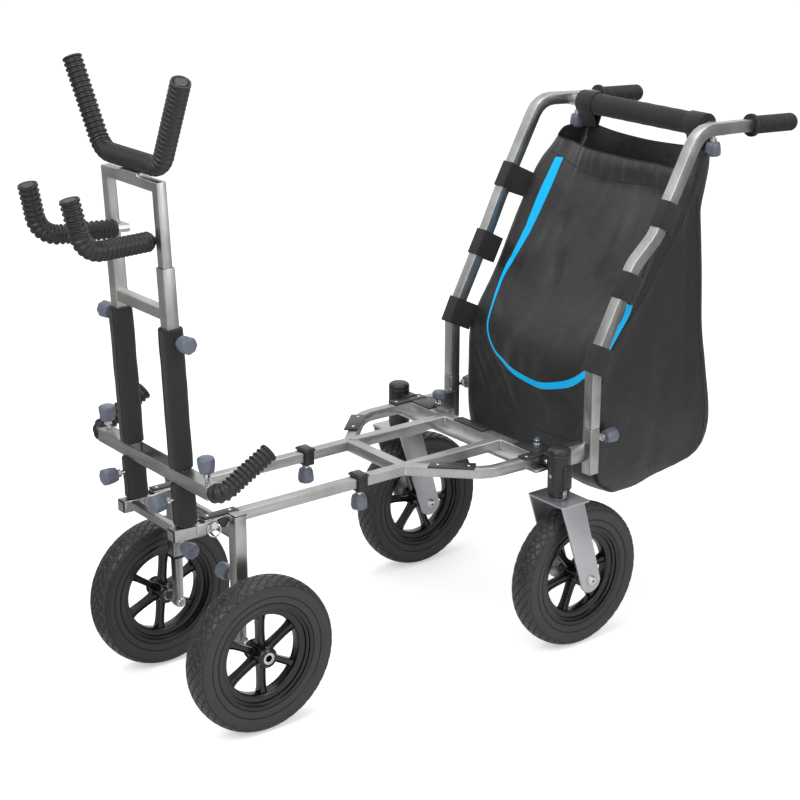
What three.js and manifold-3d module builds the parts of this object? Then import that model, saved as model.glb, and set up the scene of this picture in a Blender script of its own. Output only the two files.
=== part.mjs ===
import * as THREE from 'three';
import { mergeVertices } from 'three/addons/utils/BufferGeometryUtils.js';
import Module from 'manifold-3d';

// A four-wheeled fishing trolley: a welded frame of square steel tube, two fixed front wheels on legs that
// slide in sockets, two rear casters, a folding mast with ribbed rod rests, and a bag on its handles.
// Lengths are millimetres. X runs across the trolley, -Y is its front and Z is up. The pieces are drawn from
// the point on the ground midway between the axles, and the last lines move the whole to its own middle.

// Fits shared by the whole trolley
const gap = 0.3;
const slideGap = 0.4;
const turnGap = 0.5;
const overrun = 2;
const weldSink = 0.5;
const mergeDistance = 0.001;
const bendStep = 0.3;

// Wheels
const wheelBase = 700;
const frontTrack = 352;
const rearTrack = 514;
const wheelRadius = 150;
const wheelWidth = 55;
const rimRadius = 104;
const rimWidth = 44;
const rimWindowRadius = 73;
const rimWebWidth = 22;
const rimLip = 6;
const hubRadius = 17;
const hubLength = 60;
const spokeCount = 6;
const spokeWidth = 15;
const spokeDepth = 16;
const spokeSink = 3;
const axleRadius = 6;
const axleHeadRadius = 10;
const axleHeadLength = 6;
const axleSpacerRadius = 10;
const wheelSides = 28;
const wheelTurnSteps = [0, 1, -2, 2];
const roundSides = 12;

// Deck frame
const railSize = 20.5;
const railSpread = 178;
const crossbarWidth = 24;
const crossbarSetback = 396;
const outerTubeSpread = 412;
const diagonalStart = 396;
const diagonalEnd = 512;
const diagonalBend = 70;
const rearCrossLead = 53;
const memberLead = 61;
const memberDepth = 56;
const memberThickness = 6;
const memberGroove = 2;
const sideTubeFall = 20;
const sideTubeLead = 33;

// Front legs and their sockets
const socketSize = 24.5;
const socketBore = 20.3;
const socketDrop = 155;
const socketCap = 6;
const legSize = 19.5;
const legTopRise = 190;
const legFootRadius = 16;
const legTieSize = 20;
const legTieDrop = 38;

// Mast foot, hinged on the rails and locked by pins
const noseReach = 34.5;
const pivotLead = 26.5;
const cheekThickness = 3;
const cheekRadius = 10.2;
const cheekOverlap = 16;
const stubSize = 23.8;
const stubDrop = 4.7;
const stubReach = 125;
const pivotRadius = 4;
const pivotCapRadius = 10;
const pivotCapLength = 6;
const lockPinLead = 21;
const lockPinHeadRadius = 7;
const lockPinHeadLength = 9;
const hingeTubeRadius = 8;
const pinSides = 8;
const footCrossDepth = 15;
const footCrossLead = 104;
const spigotSize = 19.3;
const spigotLength = 75;

// Mast
const mastLean = 0.042;
const mastLead = 93.5;
const mastSpread = 173;
const postSize = 24.2;
const postBore = 20.2;
const postStart = 1.4;
const postTop = 480;
const mastBarTop = 405;
const mastBarSize = 20;
const sleeveSize = 40;
const sleeveCorner = 8;
const sleeveSlit = 1.6;
const sleeveSlitInset = 5;
const lowerSleeveStart = 3;
const lowerSleeveTop = 82;
const upperSleeveStart = 112;
const upperSleeveTop = 372;
const sleeveHoleSize = 14;

// Inner mast frame with its rod rests
const innerTubeSize = 18.7;
const innerFrameBottom = 205;
const innerFrameTop = 630;
const saddleLength = 60;
const saddleThickness = 5.7;
const hoseRadius = 18;
const hoseGrooveRadius = 15.6;
const hoseBoreRadius = 8.9;
const hoseSides = 8;
const rodRadius = 8;
const rodSides = 8;
const topRestHalfBase = 98.5;
const topRestHalfTip = 184;
const topRestRise = 156;
const topRestBend = 45;
const topRestRibs = 48;
const hookRootHalf = 58.4;
const hookDrop = 108;
const hookCornerHalf = 79;
const hookReach = 147;
const hookCornerRise = 8;
const hookTipHalf = 74;
const hookTipReach = 162;
const hookTipRise = 103;
const hookBend = 45;
const hookRibs = 22;
const hookTail = 24;
const hookBlockDepth = 13;
const hookBlockHeight = 14;

// Cross rest on the mast posts, with an arm at each end
const crossRestStart = 84;
const crossRestHeight = 26;
const crossRestHalf = 193;
const crossRestFlat = 2;
const armSocketBoreDepth = 60;
const armBend = 20;
const armReach = 104;
const armRise = 54;
const armRibs = 12;

// Knobs
const knobRadius = 16.5;
const knobTopShare = 0.9;
const knobLength = 33;
const knobChamfer = 3;
const knobStudRadius = 4;
const knobNutRadius = 7;
const knobNutLength = 6;
const knobSides = 8;
const legKnobDrop = 129;
const legKnobStud = 21;
const lowerKnobHeight = 56;
const lowerKnobStud = 26;
const upperKnobHeight = 353;
const upperKnobStud = 23;
const armKnobHalf = 174;
const armKnobStud = 18;
const clampKnobStud = 9;
const handleKnobRise = 4;
const handleKnobStud = 24;
const gripKnobStud = 16;
const gripKnobHalf = 201;

// Rail clamps and pads
const clampSetback = 289.5;
const clampWidth = 31;
const clampDepth = 22;
const clampTopWall = 7;
const clampFootDrop = 28;
const padThickness = 3;
const padWidth = 20;
const frontPadRear = 25;

// Casters
const casterTrail = 48;
const casterHousingRadius = 22.5;
const casterHousingDrop = 74;
const casterHousingRise = 26;
const casterDome = 6;
const casterStemRadius = 10;
const casterStemInset = 18;
const casterCollarRadius = 15;
const forkClearance = 25;
const forkCollarHeight = 3;
const forkPlateThickness = 4;
const forkPlateWidth = 103;
const forkPlateFront = 35;
const forkPlateRear = 37;
const forkLegThickness = 4;
const forkLegInset = 1.5;
const forkLegTopFront = 35;
const forkLegTopRear = 23;
const forkFootRadius = 26;
const forkFootTurn = 0.11;
const bracketDepth = 38;
const bracketRise = 6;

// Handles
const handleSize = 24.2;
const handleSpread = 442;
const handleUpperSpread = 472;
const gripSpread = 450;
const handleSetback = 69;
const handleSocketDrop = 66;
const handleSocketRise = 30;
const handleSocketFloor = 5;
const handleSpigotDrop = 52;
const handleBendRise = 162;
const handleKinkRise = 350;
const handleKinkSetback = 168;
const handleJogRise = 404;
const handleJogSetback = 209;
const handleTopRise = 601;
const handleTopSetback = 317;
const gripDrop = 8;
const gripSetback = 477;
const gripFall = 6.5;
const gripLength = 129;
const gripLead = 40;
const handleBend = 55;
const gripRadius = 18.5;
const gripFlangeRadius = 23.5;
const gripFlangeLength = 8;
const gripSpigotRadius = 11;
const gripCap = 4;
const crossHandleSetback = 398;
const crossHandleDrop = 7;
const crossHandleRadius = 12.5;
const crossFoamRadius = 23;
const crossFoamHalf = 184;

// Bag and the straps that hold it
const bagFrontSetback = 93;
const bagDepth = 338;
const bagDrop = 134;
const bagTopDrop = 61;
const bagHalfWidth = 200;
const bagWall = 4;
const bagCorner = 29;
const bagCornerSteps = 2;
const strapThickness = 2.5;
const strapLength = 38;
const strapRises = [173, 309, 443];
const strapTail = 86;
const topStrapHalf = 160;
const topStrapWidth = 46;
const topStrapOverlap = 20;

const forkPlateTop = 2 * wheelRadius + forkClearance;
const casterHousingBottom = forkPlateTop + forkCollarHeight;
const deckHeight = casterHousingBottom + casterHousingDrop;
const casterHousingTop = deckHeight + casterHousingRise;
const casterStemTop = casterHousingTop - casterStemInset;
const frontY = -wheelBase / 2;
const rearY = wheelBase / 2;
const railX = railSpread / 2;
const railZ = deckHeight - railSize / 2;
const legX = railX + railSize / 2 + socketSize / 2 - weldSink;
const legFrontY = frontY - socketSize / 2;
const outerX = outerTubeSpread / 2;
const postX = mastSpread / 2;
const pivotY = frontY - pivotLead;
const pivotZ = railZ;
const noseY = pivotY - noseReach;
const padTopZ = deckHeight + gap + padThickness;
const stubRearY = pivotY - Math.hypot(noseReach, padTopZ - pivotZ) - turnGap;
const stubFrontY = frontY - stubReach;
const stubTopZ = deckHeight - stubDrop;
const stubZ = stubTopZ - stubSize / 2;
const casterX = rearTrack / 2;
const casterY = rearY - casterTrail;
const frontWheelX = frontTrack / 2;
const handleX = handleSpread / 2;
const handleY = rearY + handleSetback;
const handleSocketBottom = deckHeight - handleSocketDrop;
const handleSocketTop = deckHeight + handleSocketRise;
const handleTopHeight = deckHeight + handleTopRise;
const gripHeight = handleTopHeight - gripDrop;
const crossHandleHeight = handleTopHeight - crossHandleDrop;
const bagBottom = deckHeight - bagDrop;
const bagTop = crossHandleHeight - bagTopDrop;
const hookRootHeight = innerFrameTop - hookDrop;
const armHeight = crossRestStart + crossRestHeight / 2;
const postFace = postSize / 2 + gap;
const up = new THREE.Vector3(0, 1, 0);

const steel = new THREE.MeshStandardMaterial({ color: 0x9c9c9a, roughness: 0.35, metalness: 0.9 });
const zinc = new THREE.MeshStandardMaterial({ color: 0xc8c8c6, roughness: 0.25, metalness: 1 });
const tyreRubber = new THREE.MeshStandardMaterial({ color: 0x262626, roughness: 0.8, metalness: 0 });
const blackPlastic = new THREE.MeshStandardMaterial({ color: 0x161616, roughness: 0.45, metalness: 0 });
const knobPlastic = new THREE.MeshStandardMaterial({ color: 0x5a6478, roughness: 0.5, metalness: 0 });
const foam = new THREE.MeshStandardMaterial({ color: 0x242424, roughness: 0.95, metalness: 0 });
const hosePlastic = new THREE.MeshStandardMaterial({ color: 0x1b1b1b, roughness: 0.5, metalness: 0 });
const bagFabric = new THREE.MeshStandardMaterial({ color: 0x2a2a2a, roughness: 0.75, metalness: 0 });

const wasm = await Module();
wasm.setup();

// Turns any geometry into one closed surface: shared corners, no empty faces, faces pointing outwards.
function closed(geometry) {
  const bare = geometry.index ? geometry.toNonIndexed() : geometry.clone();
  for (const name of Object.keys(bare.attributes)) {
    if (name !== 'position') bare.deleteAttribute(name);
  }
  const merged = mergeVertices(bare, mergeDistance);
  const points = merged.attributes.position;
  const index = merged.index.array;
  const a = new THREE.Vector3();
  const b = new THREE.Vector3();
  const c = new THREE.Vector3();
  const faces = [];
  let volume = 0;
  for (let i = 0; i < index.length; i += 3) {
    const [ia, ib, ic] = [index[i], index[i + 1], index[i + 2]];
    if (ia === ib || ib === ic || ic === ia) continue;
    a.fromBufferAttribute(points, ia);
    b.fromBufferAttribute(points, ib);
    c.fromBufferAttribute(points, ic);
    volume += a.dot(b.cross(c));
    faces.push(ia, ib, ic);
  }
  if (volume < 0) faces.reverse();
  merged.setIndex(faces);
  return merged;
}

function solid(geometry) {
  const surface = closed(geometry);
  const vertProperties = new Float32Array(surface.attributes.position.array);
  const triVerts = new Uint32Array(surface.index.array);
  return new wasm.Manifold(new wasm.Mesh({ numProp: 3, vertProperties, triVerts }));
}

function geometryOf(manifold) {
  const mesh = manifold.getMesh();
  const geometry = new THREE.BufferGeometry();
  geometry.setAttribute('position', new THREE.Float32BufferAttribute(mesh.vertProperties, 3));
  geometry.setIndex([...mesh.triVerts]);
  return geometry;
}

function join(geometries) {
  return geometryOf(geometries.map(solid).reduce((whole, piece) => whole.add(piece)));
}

function cut(geometry, tools) {
  return geometryOf(tools.map(solid).reduce((whole, tool) => whole.subtract(tool), solid(geometry)));
}

function box(width, depth, height, x, y, z) {
  return new THREE.BoxGeometry(width, depth, height).translate(x, y, z);
}

// A box given by its lowest and highest corners.
function span(x0, x1, y0, y1, z0, z1) {
  return box(x1 - x0, y1 - y0, z1 - z0, (x0 + x1) / 2, (y0 + y1) / 2, (z0 + z1) / 2);
}

function rod(radius, x0, x1, y, z, sides = roundSides) {
  const cylinder = new THREE.CylinderGeometry(radius, radius, x1 - x0, sides);
  return cylinder.rotateZ(-Math.PI / 2).translate((x0 + x1) / 2, y, z);
}

function mirrored(geometry) {
  return closed(geometry.clone().scale(-1, 1, 1));
}

// A solid of revolution about X, from a closed outline of radius and place along the axis.
function turned(outline, sides) {
  const points = outline.map(([radius, along]) => new THREE.Vector2(radius, along));
  return closed(new THREE.LatheGeometry([...points, points[0].clone()], sides).rotateZ(-Math.PI / 2));
}

function squareShape(size) {
  const half = size / 2;
  const corners = [[-half, -half], [half, -half], [half, half], [-half, half]];
  return new THREE.Shape(corners.map(([x, y]) => new THREE.Vector2(x, y)));
}

function roundShape(radius, sides) {
  const corners = Array.from({ length: sides }, (_, i) => (2 * Math.PI * i) / sides);
  return new THREE.Shape(corners.map((t) => new THREE.Vector2(radius * Math.cos(t), radius * Math.sin(t))));
}

function roundedSquareShape(size, corner) {
  const half = size / 2;
  const core = half - corner;
  const shape = new THREE.Shape();
  shape.moveTo(-core, -half);
  shape.lineTo(core, -half);
  shape.absarc(core, -core, corner, -Math.PI / 2, 0);
  shape.lineTo(half, core);
  shape.absarc(core, core, corner, 0, Math.PI / 2);
  shape.lineTo(-core, half);
  shape.absarc(-core, core, corner, Math.PI / 2, Math.PI);
  shape.lineTo(-half, -core);
  shape.absarc(-core, -core, corner, Math.PI, 1.5 * Math.PI);
  return shape;
}

// The knots of a path along straight runs, with each corner rounded by a bend.
function bentPath(corners, bend) {
  const points = corners.map((corner) => new THREE.Vector3(...corner));
  const knots = [points[0]];
  for (let i = 1; i < points.length - 1; i += 1) {
    const before = points[i].clone().sub(points[i - 1]).normalize();
    const after = points[i + 1].clone().sub(points[i]).normalize();
    const turn = before.angleTo(after);
    const setback = bend * Math.tan(turn / 2);
    const steps = Math.max(1, Math.ceil(turn / bendStep));
    const inward = after.clone().sub(before).normalize();
    const centre = points[i].clone().addScaledVector(inward, bend / Math.cos(turn / 2));
    const arm = points[i].clone().addScaledVector(before, -setback).sub(centre);
    const axis = before.clone().cross(after).normalize();
    for (let step = 0; step <= steps; step += 1) {
      knots.push(arm.clone().applyAxisAngle(axis, (turn * step) / steps).add(centre));
    }
  }
  knots.push(points[points.length - 1]);
  return knots;
}

// A curve that passes straight from knot to knot, and points along the mean of the runs at each knot.
class KnotCurve extends THREE.Curve {
  constructor(knots) {
    super();
    this.knots = knots;
  }

  getPointAt(share) {
    const place = share * (this.knots.length - 1);
    const first = Math.min(Math.floor(place), this.knots.length - 2);
    return this.knots[first].clone().lerp(this.knots[first + 1], place - first);
  }

  getTangentAt(share) {
    const knot = Math.round(share * (this.knots.length - 1));
    return tangentAt(this.knots, knot);
  }
}

function tangentAt(knots, knot) {
  const tangent = new THREE.Vector3();
  if (knot > 0) tangent.add(knots[knot].clone().sub(knots[knot - 1]).normalize());
  if (knot < knots.length - 1) tangent.add(knots[knot + 1].clone().sub(knots[knot]).normalize());
  return tangent.normalize();
}

function swept(shape, knots) {
  const extrudePath = new KnotCurve(knots);
  const settings = { steps: knots.length - 1, bevelEnabled: false, curveSegments: 3, extrudePath };
  return closed(new THREE.ExtrudeGeometry(shape, settings));
}

function raised(shape, height, curveSegments = 4) {
  return new THREE.ExtrudeGeometry(shape, { depth: height, bevelEnabled: false, curveSegments });
}

// A ribbed hose along flat knots: crests and grooves outside, and a plain bore that follows the rod inside.
function ribbedHose(knots, ribs) {
  const across = knots[1].clone().sub(knots[0]).cross(knots[knots.length - 1].clone().sub(knots[0]));
  across.normalize();
  const starts = [0];
  for (let i = 1; i < knots.length; i += 1) starts.push(starts[i - 1] + knots[i].distanceTo(knots[i - 1]));
  const length = starts[starts.length - 1];
  const points = [];
  const faces = [];
  const addRing = (centre, tangent, radius) => {
    const side = tangent.clone().cross(across).normalize();
    for (let i = 0; i < hoseSides; i += 1) {
      const turn = (2 * Math.PI * i) / hoseSides;
      const point = centre.clone().addScaledVector(across, radius * Math.cos(turn));
      point.addScaledVector(side, radius * Math.sin(turn));
      points.push(point.x, point.y, point.z);
    }
  };
  const bridge = (first, second) => {
    for (let i = 0; i < hoseSides; i += 1) {
      const next = (i + 1) % hoseSides;
      const [a, b, c, d] = [first + i, first + next, second + i, second + next];
      faces.push(a, b, c, b, d, c);
    }
  };
  const stations = 2 * ribs;
  for (let station = 0; station <= stations; station += 1) {
    const along = (length * station) / stations;
    let run = 0;
    while (run < knots.length - 2 && starts[run + 1] < along) run += 1;
    const share = (along - starts[run]) / (starts[run + 1] - starts[run]);
    const tangent = tangentAt(knots, run).lerp(tangentAt(knots, run + 1), share).normalize();
    const radius = station % 2 ? hoseRadius : hoseGrooveRadius;
    addRing(knots[run].clone().lerp(knots[run + 1], share), tangent, radius);
    if (station) bridge((station - 1) * hoseSides, station * hoseSides);
  }
  const boreStart = points.length / 3;
  for (let knot = knots.length - 1; knot >= 0; knot -= 1) {
    addRing(knots[knot], tangentAt(knots, knot), hoseBoreRadius);
    const ring = boreStart + (knots.length - 1 - knot) * hoseSides;
    bridge(ring - hoseSides, ring);
  }
  bridge(boreStart + (knots.length - 1) * hoseSides, 0);
  const geometry = new THREE.BufferGeometry();
  geometry.setAttribute('position', new THREE.Float32BufferAttribute(points, 3));
  geometry.setIndex(faces);
  return closed(geometry);
}

const trolley = new THREE.Group();

function add(name, geometry, material, parent = trolley) {
  const mesh = new THREE.Mesh(closed(geometry), material);
  mesh.name = name;
  parent.add(mesh);
  return mesh;
}

// Adds the +X piece and its mirror image.
function addPair(name, geometry, material, parent = trolley) {
  add(`${name}_left`, geometry, material, parent);
  add(`${name}_right`, mirrored(geometry), material, parent);
}

// Tyre and spoked rim, centred on the wheel and turning about X.
function tyreGeometry() {
  const half = wheelWidth / 2;
  const depth = wheelRadius - rimRadius;
  const seat = rimRadius + gap;
  const sideShares = [[0, 0.74], [0.28, 0.94], [0.6, 1], [0.9, 0.8], [1, 0.36]];
  const side = sideShares.map(([rise, spread]) => [seat + rise * (depth - gap), spread * half]);
  const other = side.map(([radius, along]) => [radius, -along]).reverse();
  return turned([...side, ...other], wheelSides);
}

function rimGeometry() {
  const half = rimWidth / 2;
  const web = rimWebWidth / 2;
  const inner = rimRadius - rimLip;
  const side = [
    [rimRadius, half],
    [inner, half],
    [inner - rimLip, web + rimLip / 2],
    [rimWindowRadius, web],
  ];
  const barrel = turned([...side, ...side.map(([radius, along]) => [radius, -along]).reverse()], wheelSides);
  const hub = rod(hubRadius, -hubLength / 2, hubLength / 2, 0, 0);
  const spokeLength = rimWindowRadius + spokeSink;
  const spokes = Array.from({ length: spokeCount }, (_, i) => {
    const spoke = box(spokeDepth, spokeWidth, spokeLength, 0, 0, spokeLength / 2);
    return spoke.rotateX((2 * Math.PI * i) / spokeCount);
  });
  const bore = rod(axleRadius + turnGap, -hubLength, hubLength, 0, 0);
  return cut(join([barrel, hub, ...spokes]), [bore]);
}

function addWheel(place, x, y, turnSteps) {
  const tyre = add(`tyre_${place}`, tyreGeometry(), tyreRubber);
  tyre.position.set(x, y, wheelRadius);
  const rim = add(`rim_${place}`, rimGeometry(), blackPlastic);
  rim.position.set(x, y, wheelRadius);
  rim.rotation.x = turnSteps * 2 * Math.PI / wheelSides;
}

// Deck frame: rails, crossbars, diagonals, outer tubes, leg sockets and handle sockets, all welded.
function deckGeometry() {
  const rearCrossY = rearY - rearCrossLead;
  const rail = span(railX - railSize / 2, railX + railSize / 2, noseY, rearCrossY,
    deckHeight - railSize, deckHeight);
  const crossbarY = frontY + crossbarSetback;
  const crossbar = box(2 * railX, crossbarWidth, railSize, 0, crossbarY, railZ);
  const rearCross = box(2 * outerX, crossbarWidth, railSize, 0, rearCrossY, railZ);
  const memberHalf = casterX - casterHousingRadius - gap;
  const memberTop = deckHeight - railSize;
  const memberY = rearY - memberLead;
  const member = box(2 * memberHalf, memberDepth, memberThickness,
    0, memberY, memberTop - memberThickness / 2);
  const grooveZ = memberTop - memberThickness;
  const groove = box(2 * memberHalf + overrun, memberGroove, memberGroove, 0, memberY, grooveZ);
  const legTie = box(2 * legX, legTieSize, legTieSize, 0, frontY, deckHeight - legTieDrop);
  const diagonal = bentPath([
    [railX, frontY + diagonalStart, railZ],
    [outerX, frontY + diagonalEnd, railZ],
    [outerX, handleY - handleSize / 2 + overrun, railZ],
  ], diagonalBend);
  const outerTube = swept(squareShape(railSize), diagonal);
  const lowerZ = railZ - sideTubeFall;
  const sideTube = span(outerX - railSize / 2, outerX + railSize / 2, rearY - sideTubeLead,
    handleY - handleSize / 2 + overrun, lowerZ - railSize / 2, lowerZ + railSize / 2);
  const legSocket = span(legX - socketSize / 2, legX + socketSize / 2, legFrontY, legFrontY + socketSize,
    deckHeight - socketDrop, deckHeight);
  const handleSocket = span(handleX - socketSize / 2, handleX + socketSize / 2, handleY - socketSize / 2,
    handleY + socketSize / 2, handleSocketBottom, handleSocketTop);
  const sidePieces = [rail, outerTube, sideTube, legSocket, handleSocket];
  const legBore = span(legX - socketBore / 2, legX + socketBore / 2, frontY - socketBore / 2,
    frontY + socketBore / 2, deckHeight - socketDrop - overrun, deckHeight - socketCap);
  const handleBore = span(handleX - socketBore / 2, handleX + socketBore / 2, handleY - socketBore / 2,
    handleY + socketBore / 2, handleSocketBottom + handleSocketFloor, handleSocketTop + overrun);
  const boltHole = rod(pivotRadius + turnGap, railX - railSize, railX + railSize / 2 + gap,
    pivotY, pivotZ, pinSides);
  const sideCuts = [legBore, handleBore, boltHole];
  const body = join([crossbar, rearCross, member, legTie, ...sidePieces, ...sidePieces.map(mirrored)]);
  return cut(body, [groove, ...sideCuts, ...sideCuts.map(mirrored)]);
}

// Front leg: a square tube with a rounded foot and the wheel's axle, spacer and nut.
function legGeometry() {
  const foot = rod(legFootRadius, legX - legSize / 2, legX + legSize / 2, frontY, wheelRadius);
  const tube = span(legX - legSize / 2, legX + legSize / 2, frontY - legSize / 2, frontY + legSize / 2,
    wheelRadius, wheelRadius + legTopRise);
  const hubInner = frontWheelX - hubLength / 2;
  const hubOuter = frontWheelX + hubLength / 2;
  const headStart = legX - legSize / 2 - axleHeadLength;
  const head = rod(axleHeadRadius, headStart, legX, frontY, wheelRadius, knobSides);
  const spacer = rod(axleSpacerRadius, legX, hubInner - gap, frontY, wheelRadius);
  const shaft = rod(axleRadius, legX, hubOuter + axleHeadLength, frontY, wheelRadius);
  const nut = rod(axleHeadRadius, hubOuter + gap, hubOuter + axleHeadLength, frontY, wheelRadius, knobSides);
  return join([tube, foot, head, spacer, shaft, nut]);
}

// Mast foot: two stubs with hinge cheeks on either side of the rails, and spigots for the mast posts.
function mastFootGeometry() {
  const cheekInner = railSize / 2 + gap;
  const stub = span(railX - stubSize / 2, railX + stubSize / 2, stubFrontY, stubRearY,
    stubZ - stubSize / 2, stubTopZ);
  const cheekShape = new THREE.Shape();
  cheekShape.moveTo(stubRearY - cheekOverlap, stubZ - stubSize / 2);
  cheekShape.lineTo(stubRearY, stubZ - stubSize / 2);
  cheekShape.absarc(pivotY, pivotZ, cheekRadius, -Math.PI / 2, Math.PI / 2);
  cheekShape.lineTo(stubRearY, stubTopZ);
  cheekShape.lineTo(stubRearY - cheekOverlap, stubTopZ);
  const cheek = raised(cheekShape, cheekThickness).rotateX(Math.PI / 2).rotateZ(Math.PI / 2);
  const outerCheek = cheek.clone().translate(railX + cheekInner, 0, 0);
  const innerCheek = cheek.clone().translate(railX - cheekInner - cheekThickness, 0, 0);
  const spigotRise = spigotLength + postSize / 2;
  const spigot = box(spigotSize, spigotSize, spigotRise, postX, 0, spigotLength - spigotRise / 2);
  spigot.applyMatrix4(mast.matrix);
  const pieces = [stub, outerCheek, innerCheek, spigot];
  const hingeHalf = railX - cheekInner - cheekThickness + weldSink;
  const hingeTube = rod(hingeTubeRadius, -hingeHalf, hingeHalf, pivotY, pivotZ);
  const cross = box(2 * railX, footCrossDepth, footCrossDepth, 0, frontY - footCrossLead, stubZ);
  const body = join([...pieces, ...pieces.map(mirrored), hingeTube, cross]);
  const holeRadius = pivotRadius + turnGap;
  const holes = [
    rod(holeRadius, hingeHalf, railX + railSize, pivotY, pivotZ, pinSides),
    rod(holeRadius, railX, railX + railSize, pivotY - lockPinLead, pivotZ, pinSides),
  ];
  return cut(body, [...holes, ...holes.map(mirrored)]);
}

// A pin with a round head outside the outer cheek: the bolt runs on through the rail to the inner cheek, and
// the lock pin ends at the rail's side.
function crossPinGeometry(inner, y, headRadius, headLength) {
  const outer = railX + railSize / 2 + gap + cheekThickness + gap;
  return join([
    rod(pivotRadius, inner, outer + weldSink, y, pivotZ, pinSides),
    rod(headRadius, outer, outer + headLength, y, pivotZ),
  ]);
}

// Mast posts: two square tubes, open at both ends, joined by a bar.
function postsGeometry() {
  const post = span(postX - postSize / 2, postX + postSize / 2, -postSize / 2, postSize / 2,
    postStart, postTop);
  const bore = span(postX - postBore / 2, postX + postBore / 2, -postBore / 2, postBore / 2,
    postStart - overrun, postTop + overrun);
  const bar = box(2 * postX, mastBarSize, mastBarSize, 0, 0, mastBarTop - mastBarSize / 2);
  return cut(join([post, mirrored(post), bar]), [bore, mirrored(bore)]);
}

// Foam sleeve slit along its front face, with a hole for the clamping knob's stud.
function sleeveGeometry(start, top, hole) {
  const outside = raised(roundedSquareShape(sleeveSize, sleeveCorner), top - start);
  outside.translate(postX, 0, start);
  const inside = postSize / 2 + gap;
  const core = span(postX - inside, postX + inside, -inside, inside, start - overrun, top + overrun);
  const slitX = postX - inside + sleeveSlitInset;
  const slit = span(slitX, slitX + sleeveSlit, -sleeveSize, 0, start - overrun, top + overrun);
  return cut(outside, [core, slit, hole]);
}

function innerFrameGeometry() {
  const half = innerTubeSize / 2;
  const post = span(postX - half, postX + half, -half, half, innerFrameBottom, innerFrameTop);
  const bar = span(-postX, postX, -half, half, innerFrameTop - innerTubeSize, innerFrameTop);
  const saddle = span(-saddleLength / 2, saddleLength / 2, -half, half,
    innerFrameTop - weldSink, innerFrameTop + saddleThickness);
  const block = span(hookRootHalf, postX - half + weldSink, -hookBlockDepth / 2 + hookTail / 4,
    hookBlockDepth / 2 + hookTail / 4,
    hookRootHeight - hookBlockHeight / 2, hookRootHeight + hookBlockHeight / 2);
  const pieces = [post, block, swept(roundShape(rodRadius, rodSides), hookKnots(true))];
  return join([...pieces, ...pieces.map(mirrored), bar, saddle]);
}

// The hook's route, forward past the post and up; the rod starts behind the hose and stops short of its tip.
function hookKnots(isRod) {
  const root = new THREE.Vector3(hookRootHalf, -innerTubeSize / 2 - gap, hookRootHeight);
  const corner = new THREE.Vector3(hookCornerHalf, -hookReach, hookRootHeight + hookCornerRise);
  const tip = new THREE.Vector3(hookTipHalf, -hookTipReach, hookRootHeight + hookTipRise);
  if (isRod) {
    root.addScaledVector(corner.clone().sub(root).normalize(), -hookTail);
    tip.addScaledVector(tip.clone().sub(corner).normalize(), -overrun);
  }
  return bentPath([root.toArray(), corner.toArray(), tip.toArray()], hookBend);
}

function topRestKnots(shortening) {
  const baseHeight = innerFrameTop + saddleThickness + gap + hoseRadius;
  const tip = new THREE.Vector2(topRestHalfTip - topRestHalfBase, topRestRise);
  const slope = 1 - shortening / tip.length();
  const tipHalf = topRestHalfBase + tip.x * slope;
  const tipHeight = baseHeight + tip.y * slope;
  return bentPath([
    [-tipHalf, 0, tipHeight],
    [-topRestHalfBase, 0, baseHeight],
    [topRestHalfBase, 0, baseHeight],
    [tipHalf, 0, tipHeight],
  ], topRestBend);
}

// Cross rest: two flats that clasp the posts, with a socket for a rest arm at each end.
function crossRestGeometry() {
  const inside = postSize / 2 + gap;
  const outside = inside + crossRestFlat;
  const top = crossRestStart + crossRestHeight;
  const front = span(-crossRestHalf, crossRestHalf, -outside, -inside, crossRestStart, top);
  const back = span(-crossRestHalf, crossRestHalf, inside, outside, crossRestStart, top);
  const socketStart = postX + inside;
  const socket = span(socketStart, crossRestHalf, -outside, outside, crossRestStart, top);
  const bore = rod(rodRadius + turnGap, crossRestHalf - armSocketBoreDepth, crossRestHalf + overrun, 0,
    armHeight, hoseSides * 2);
  return cut(join([front, back, socket, mirrored(socket)]), [bore, mirrored(bore)]);
}

function armKnots(isRod) {
  const start = crossRestHalf + gap;
  const corner = new THREE.Vector3(start + armBend + overrun, 0, armHeight);
  const tip = new THREE.Vector3(corner.x, armReach, armHeight + armRise);
  if (isRod) tip.addScaledVector(tip.clone().sub(corner).normalize(), -overrun);
  const root = isRod ? start - armSocketBoreDepth + overrun : start;
  return bentPath([[root, 0, armHeight], corner.toArray(), tip.toArray()], armBend);
}

// Clamping knob: a stud with a nut and an eight-sided grip, drawn from the stud's end along +Y.
function knobGeometry(stud) {
  const top = stud + knobLength;
  const outline = [
    [0, 0],
    [knobStudRadius, 0],
    [knobStudRadius, stud - knobNutLength],
    [knobNutRadius, stud - knobNutLength],
    [knobNutRadius, stud],
    [knobRadius * knobTopShare, stud],
    [knobRadius, stud + knobChamfer],
    [knobRadius * knobTopShare, top - knobChamfer],
    [knobRadius * knobTopShare - knobChamfer, top],
    [0, top],
  ];
  const points = outline.map(([radius, along]) => new THREE.Vector2(radius, along));
  return new THREE.LatheGeometry(points, knobSides);
}

function addKnobs(name, stud, x, y, z, direction, parent = trolley) {
  for (const side of [1, -1]) {
    const knob = add(`${name}_${side > 0 ? 'left' : 'right'}`, knobGeometry(stud), knobPlastic, parent);
    knob.position.set(side * x, y, z);
    const facing = new THREE.Vector3(side * direction[0], direction[1], direction[2]);
    knob.quaternion.setFromUnitVectors(up, facing);
  }
}

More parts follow.
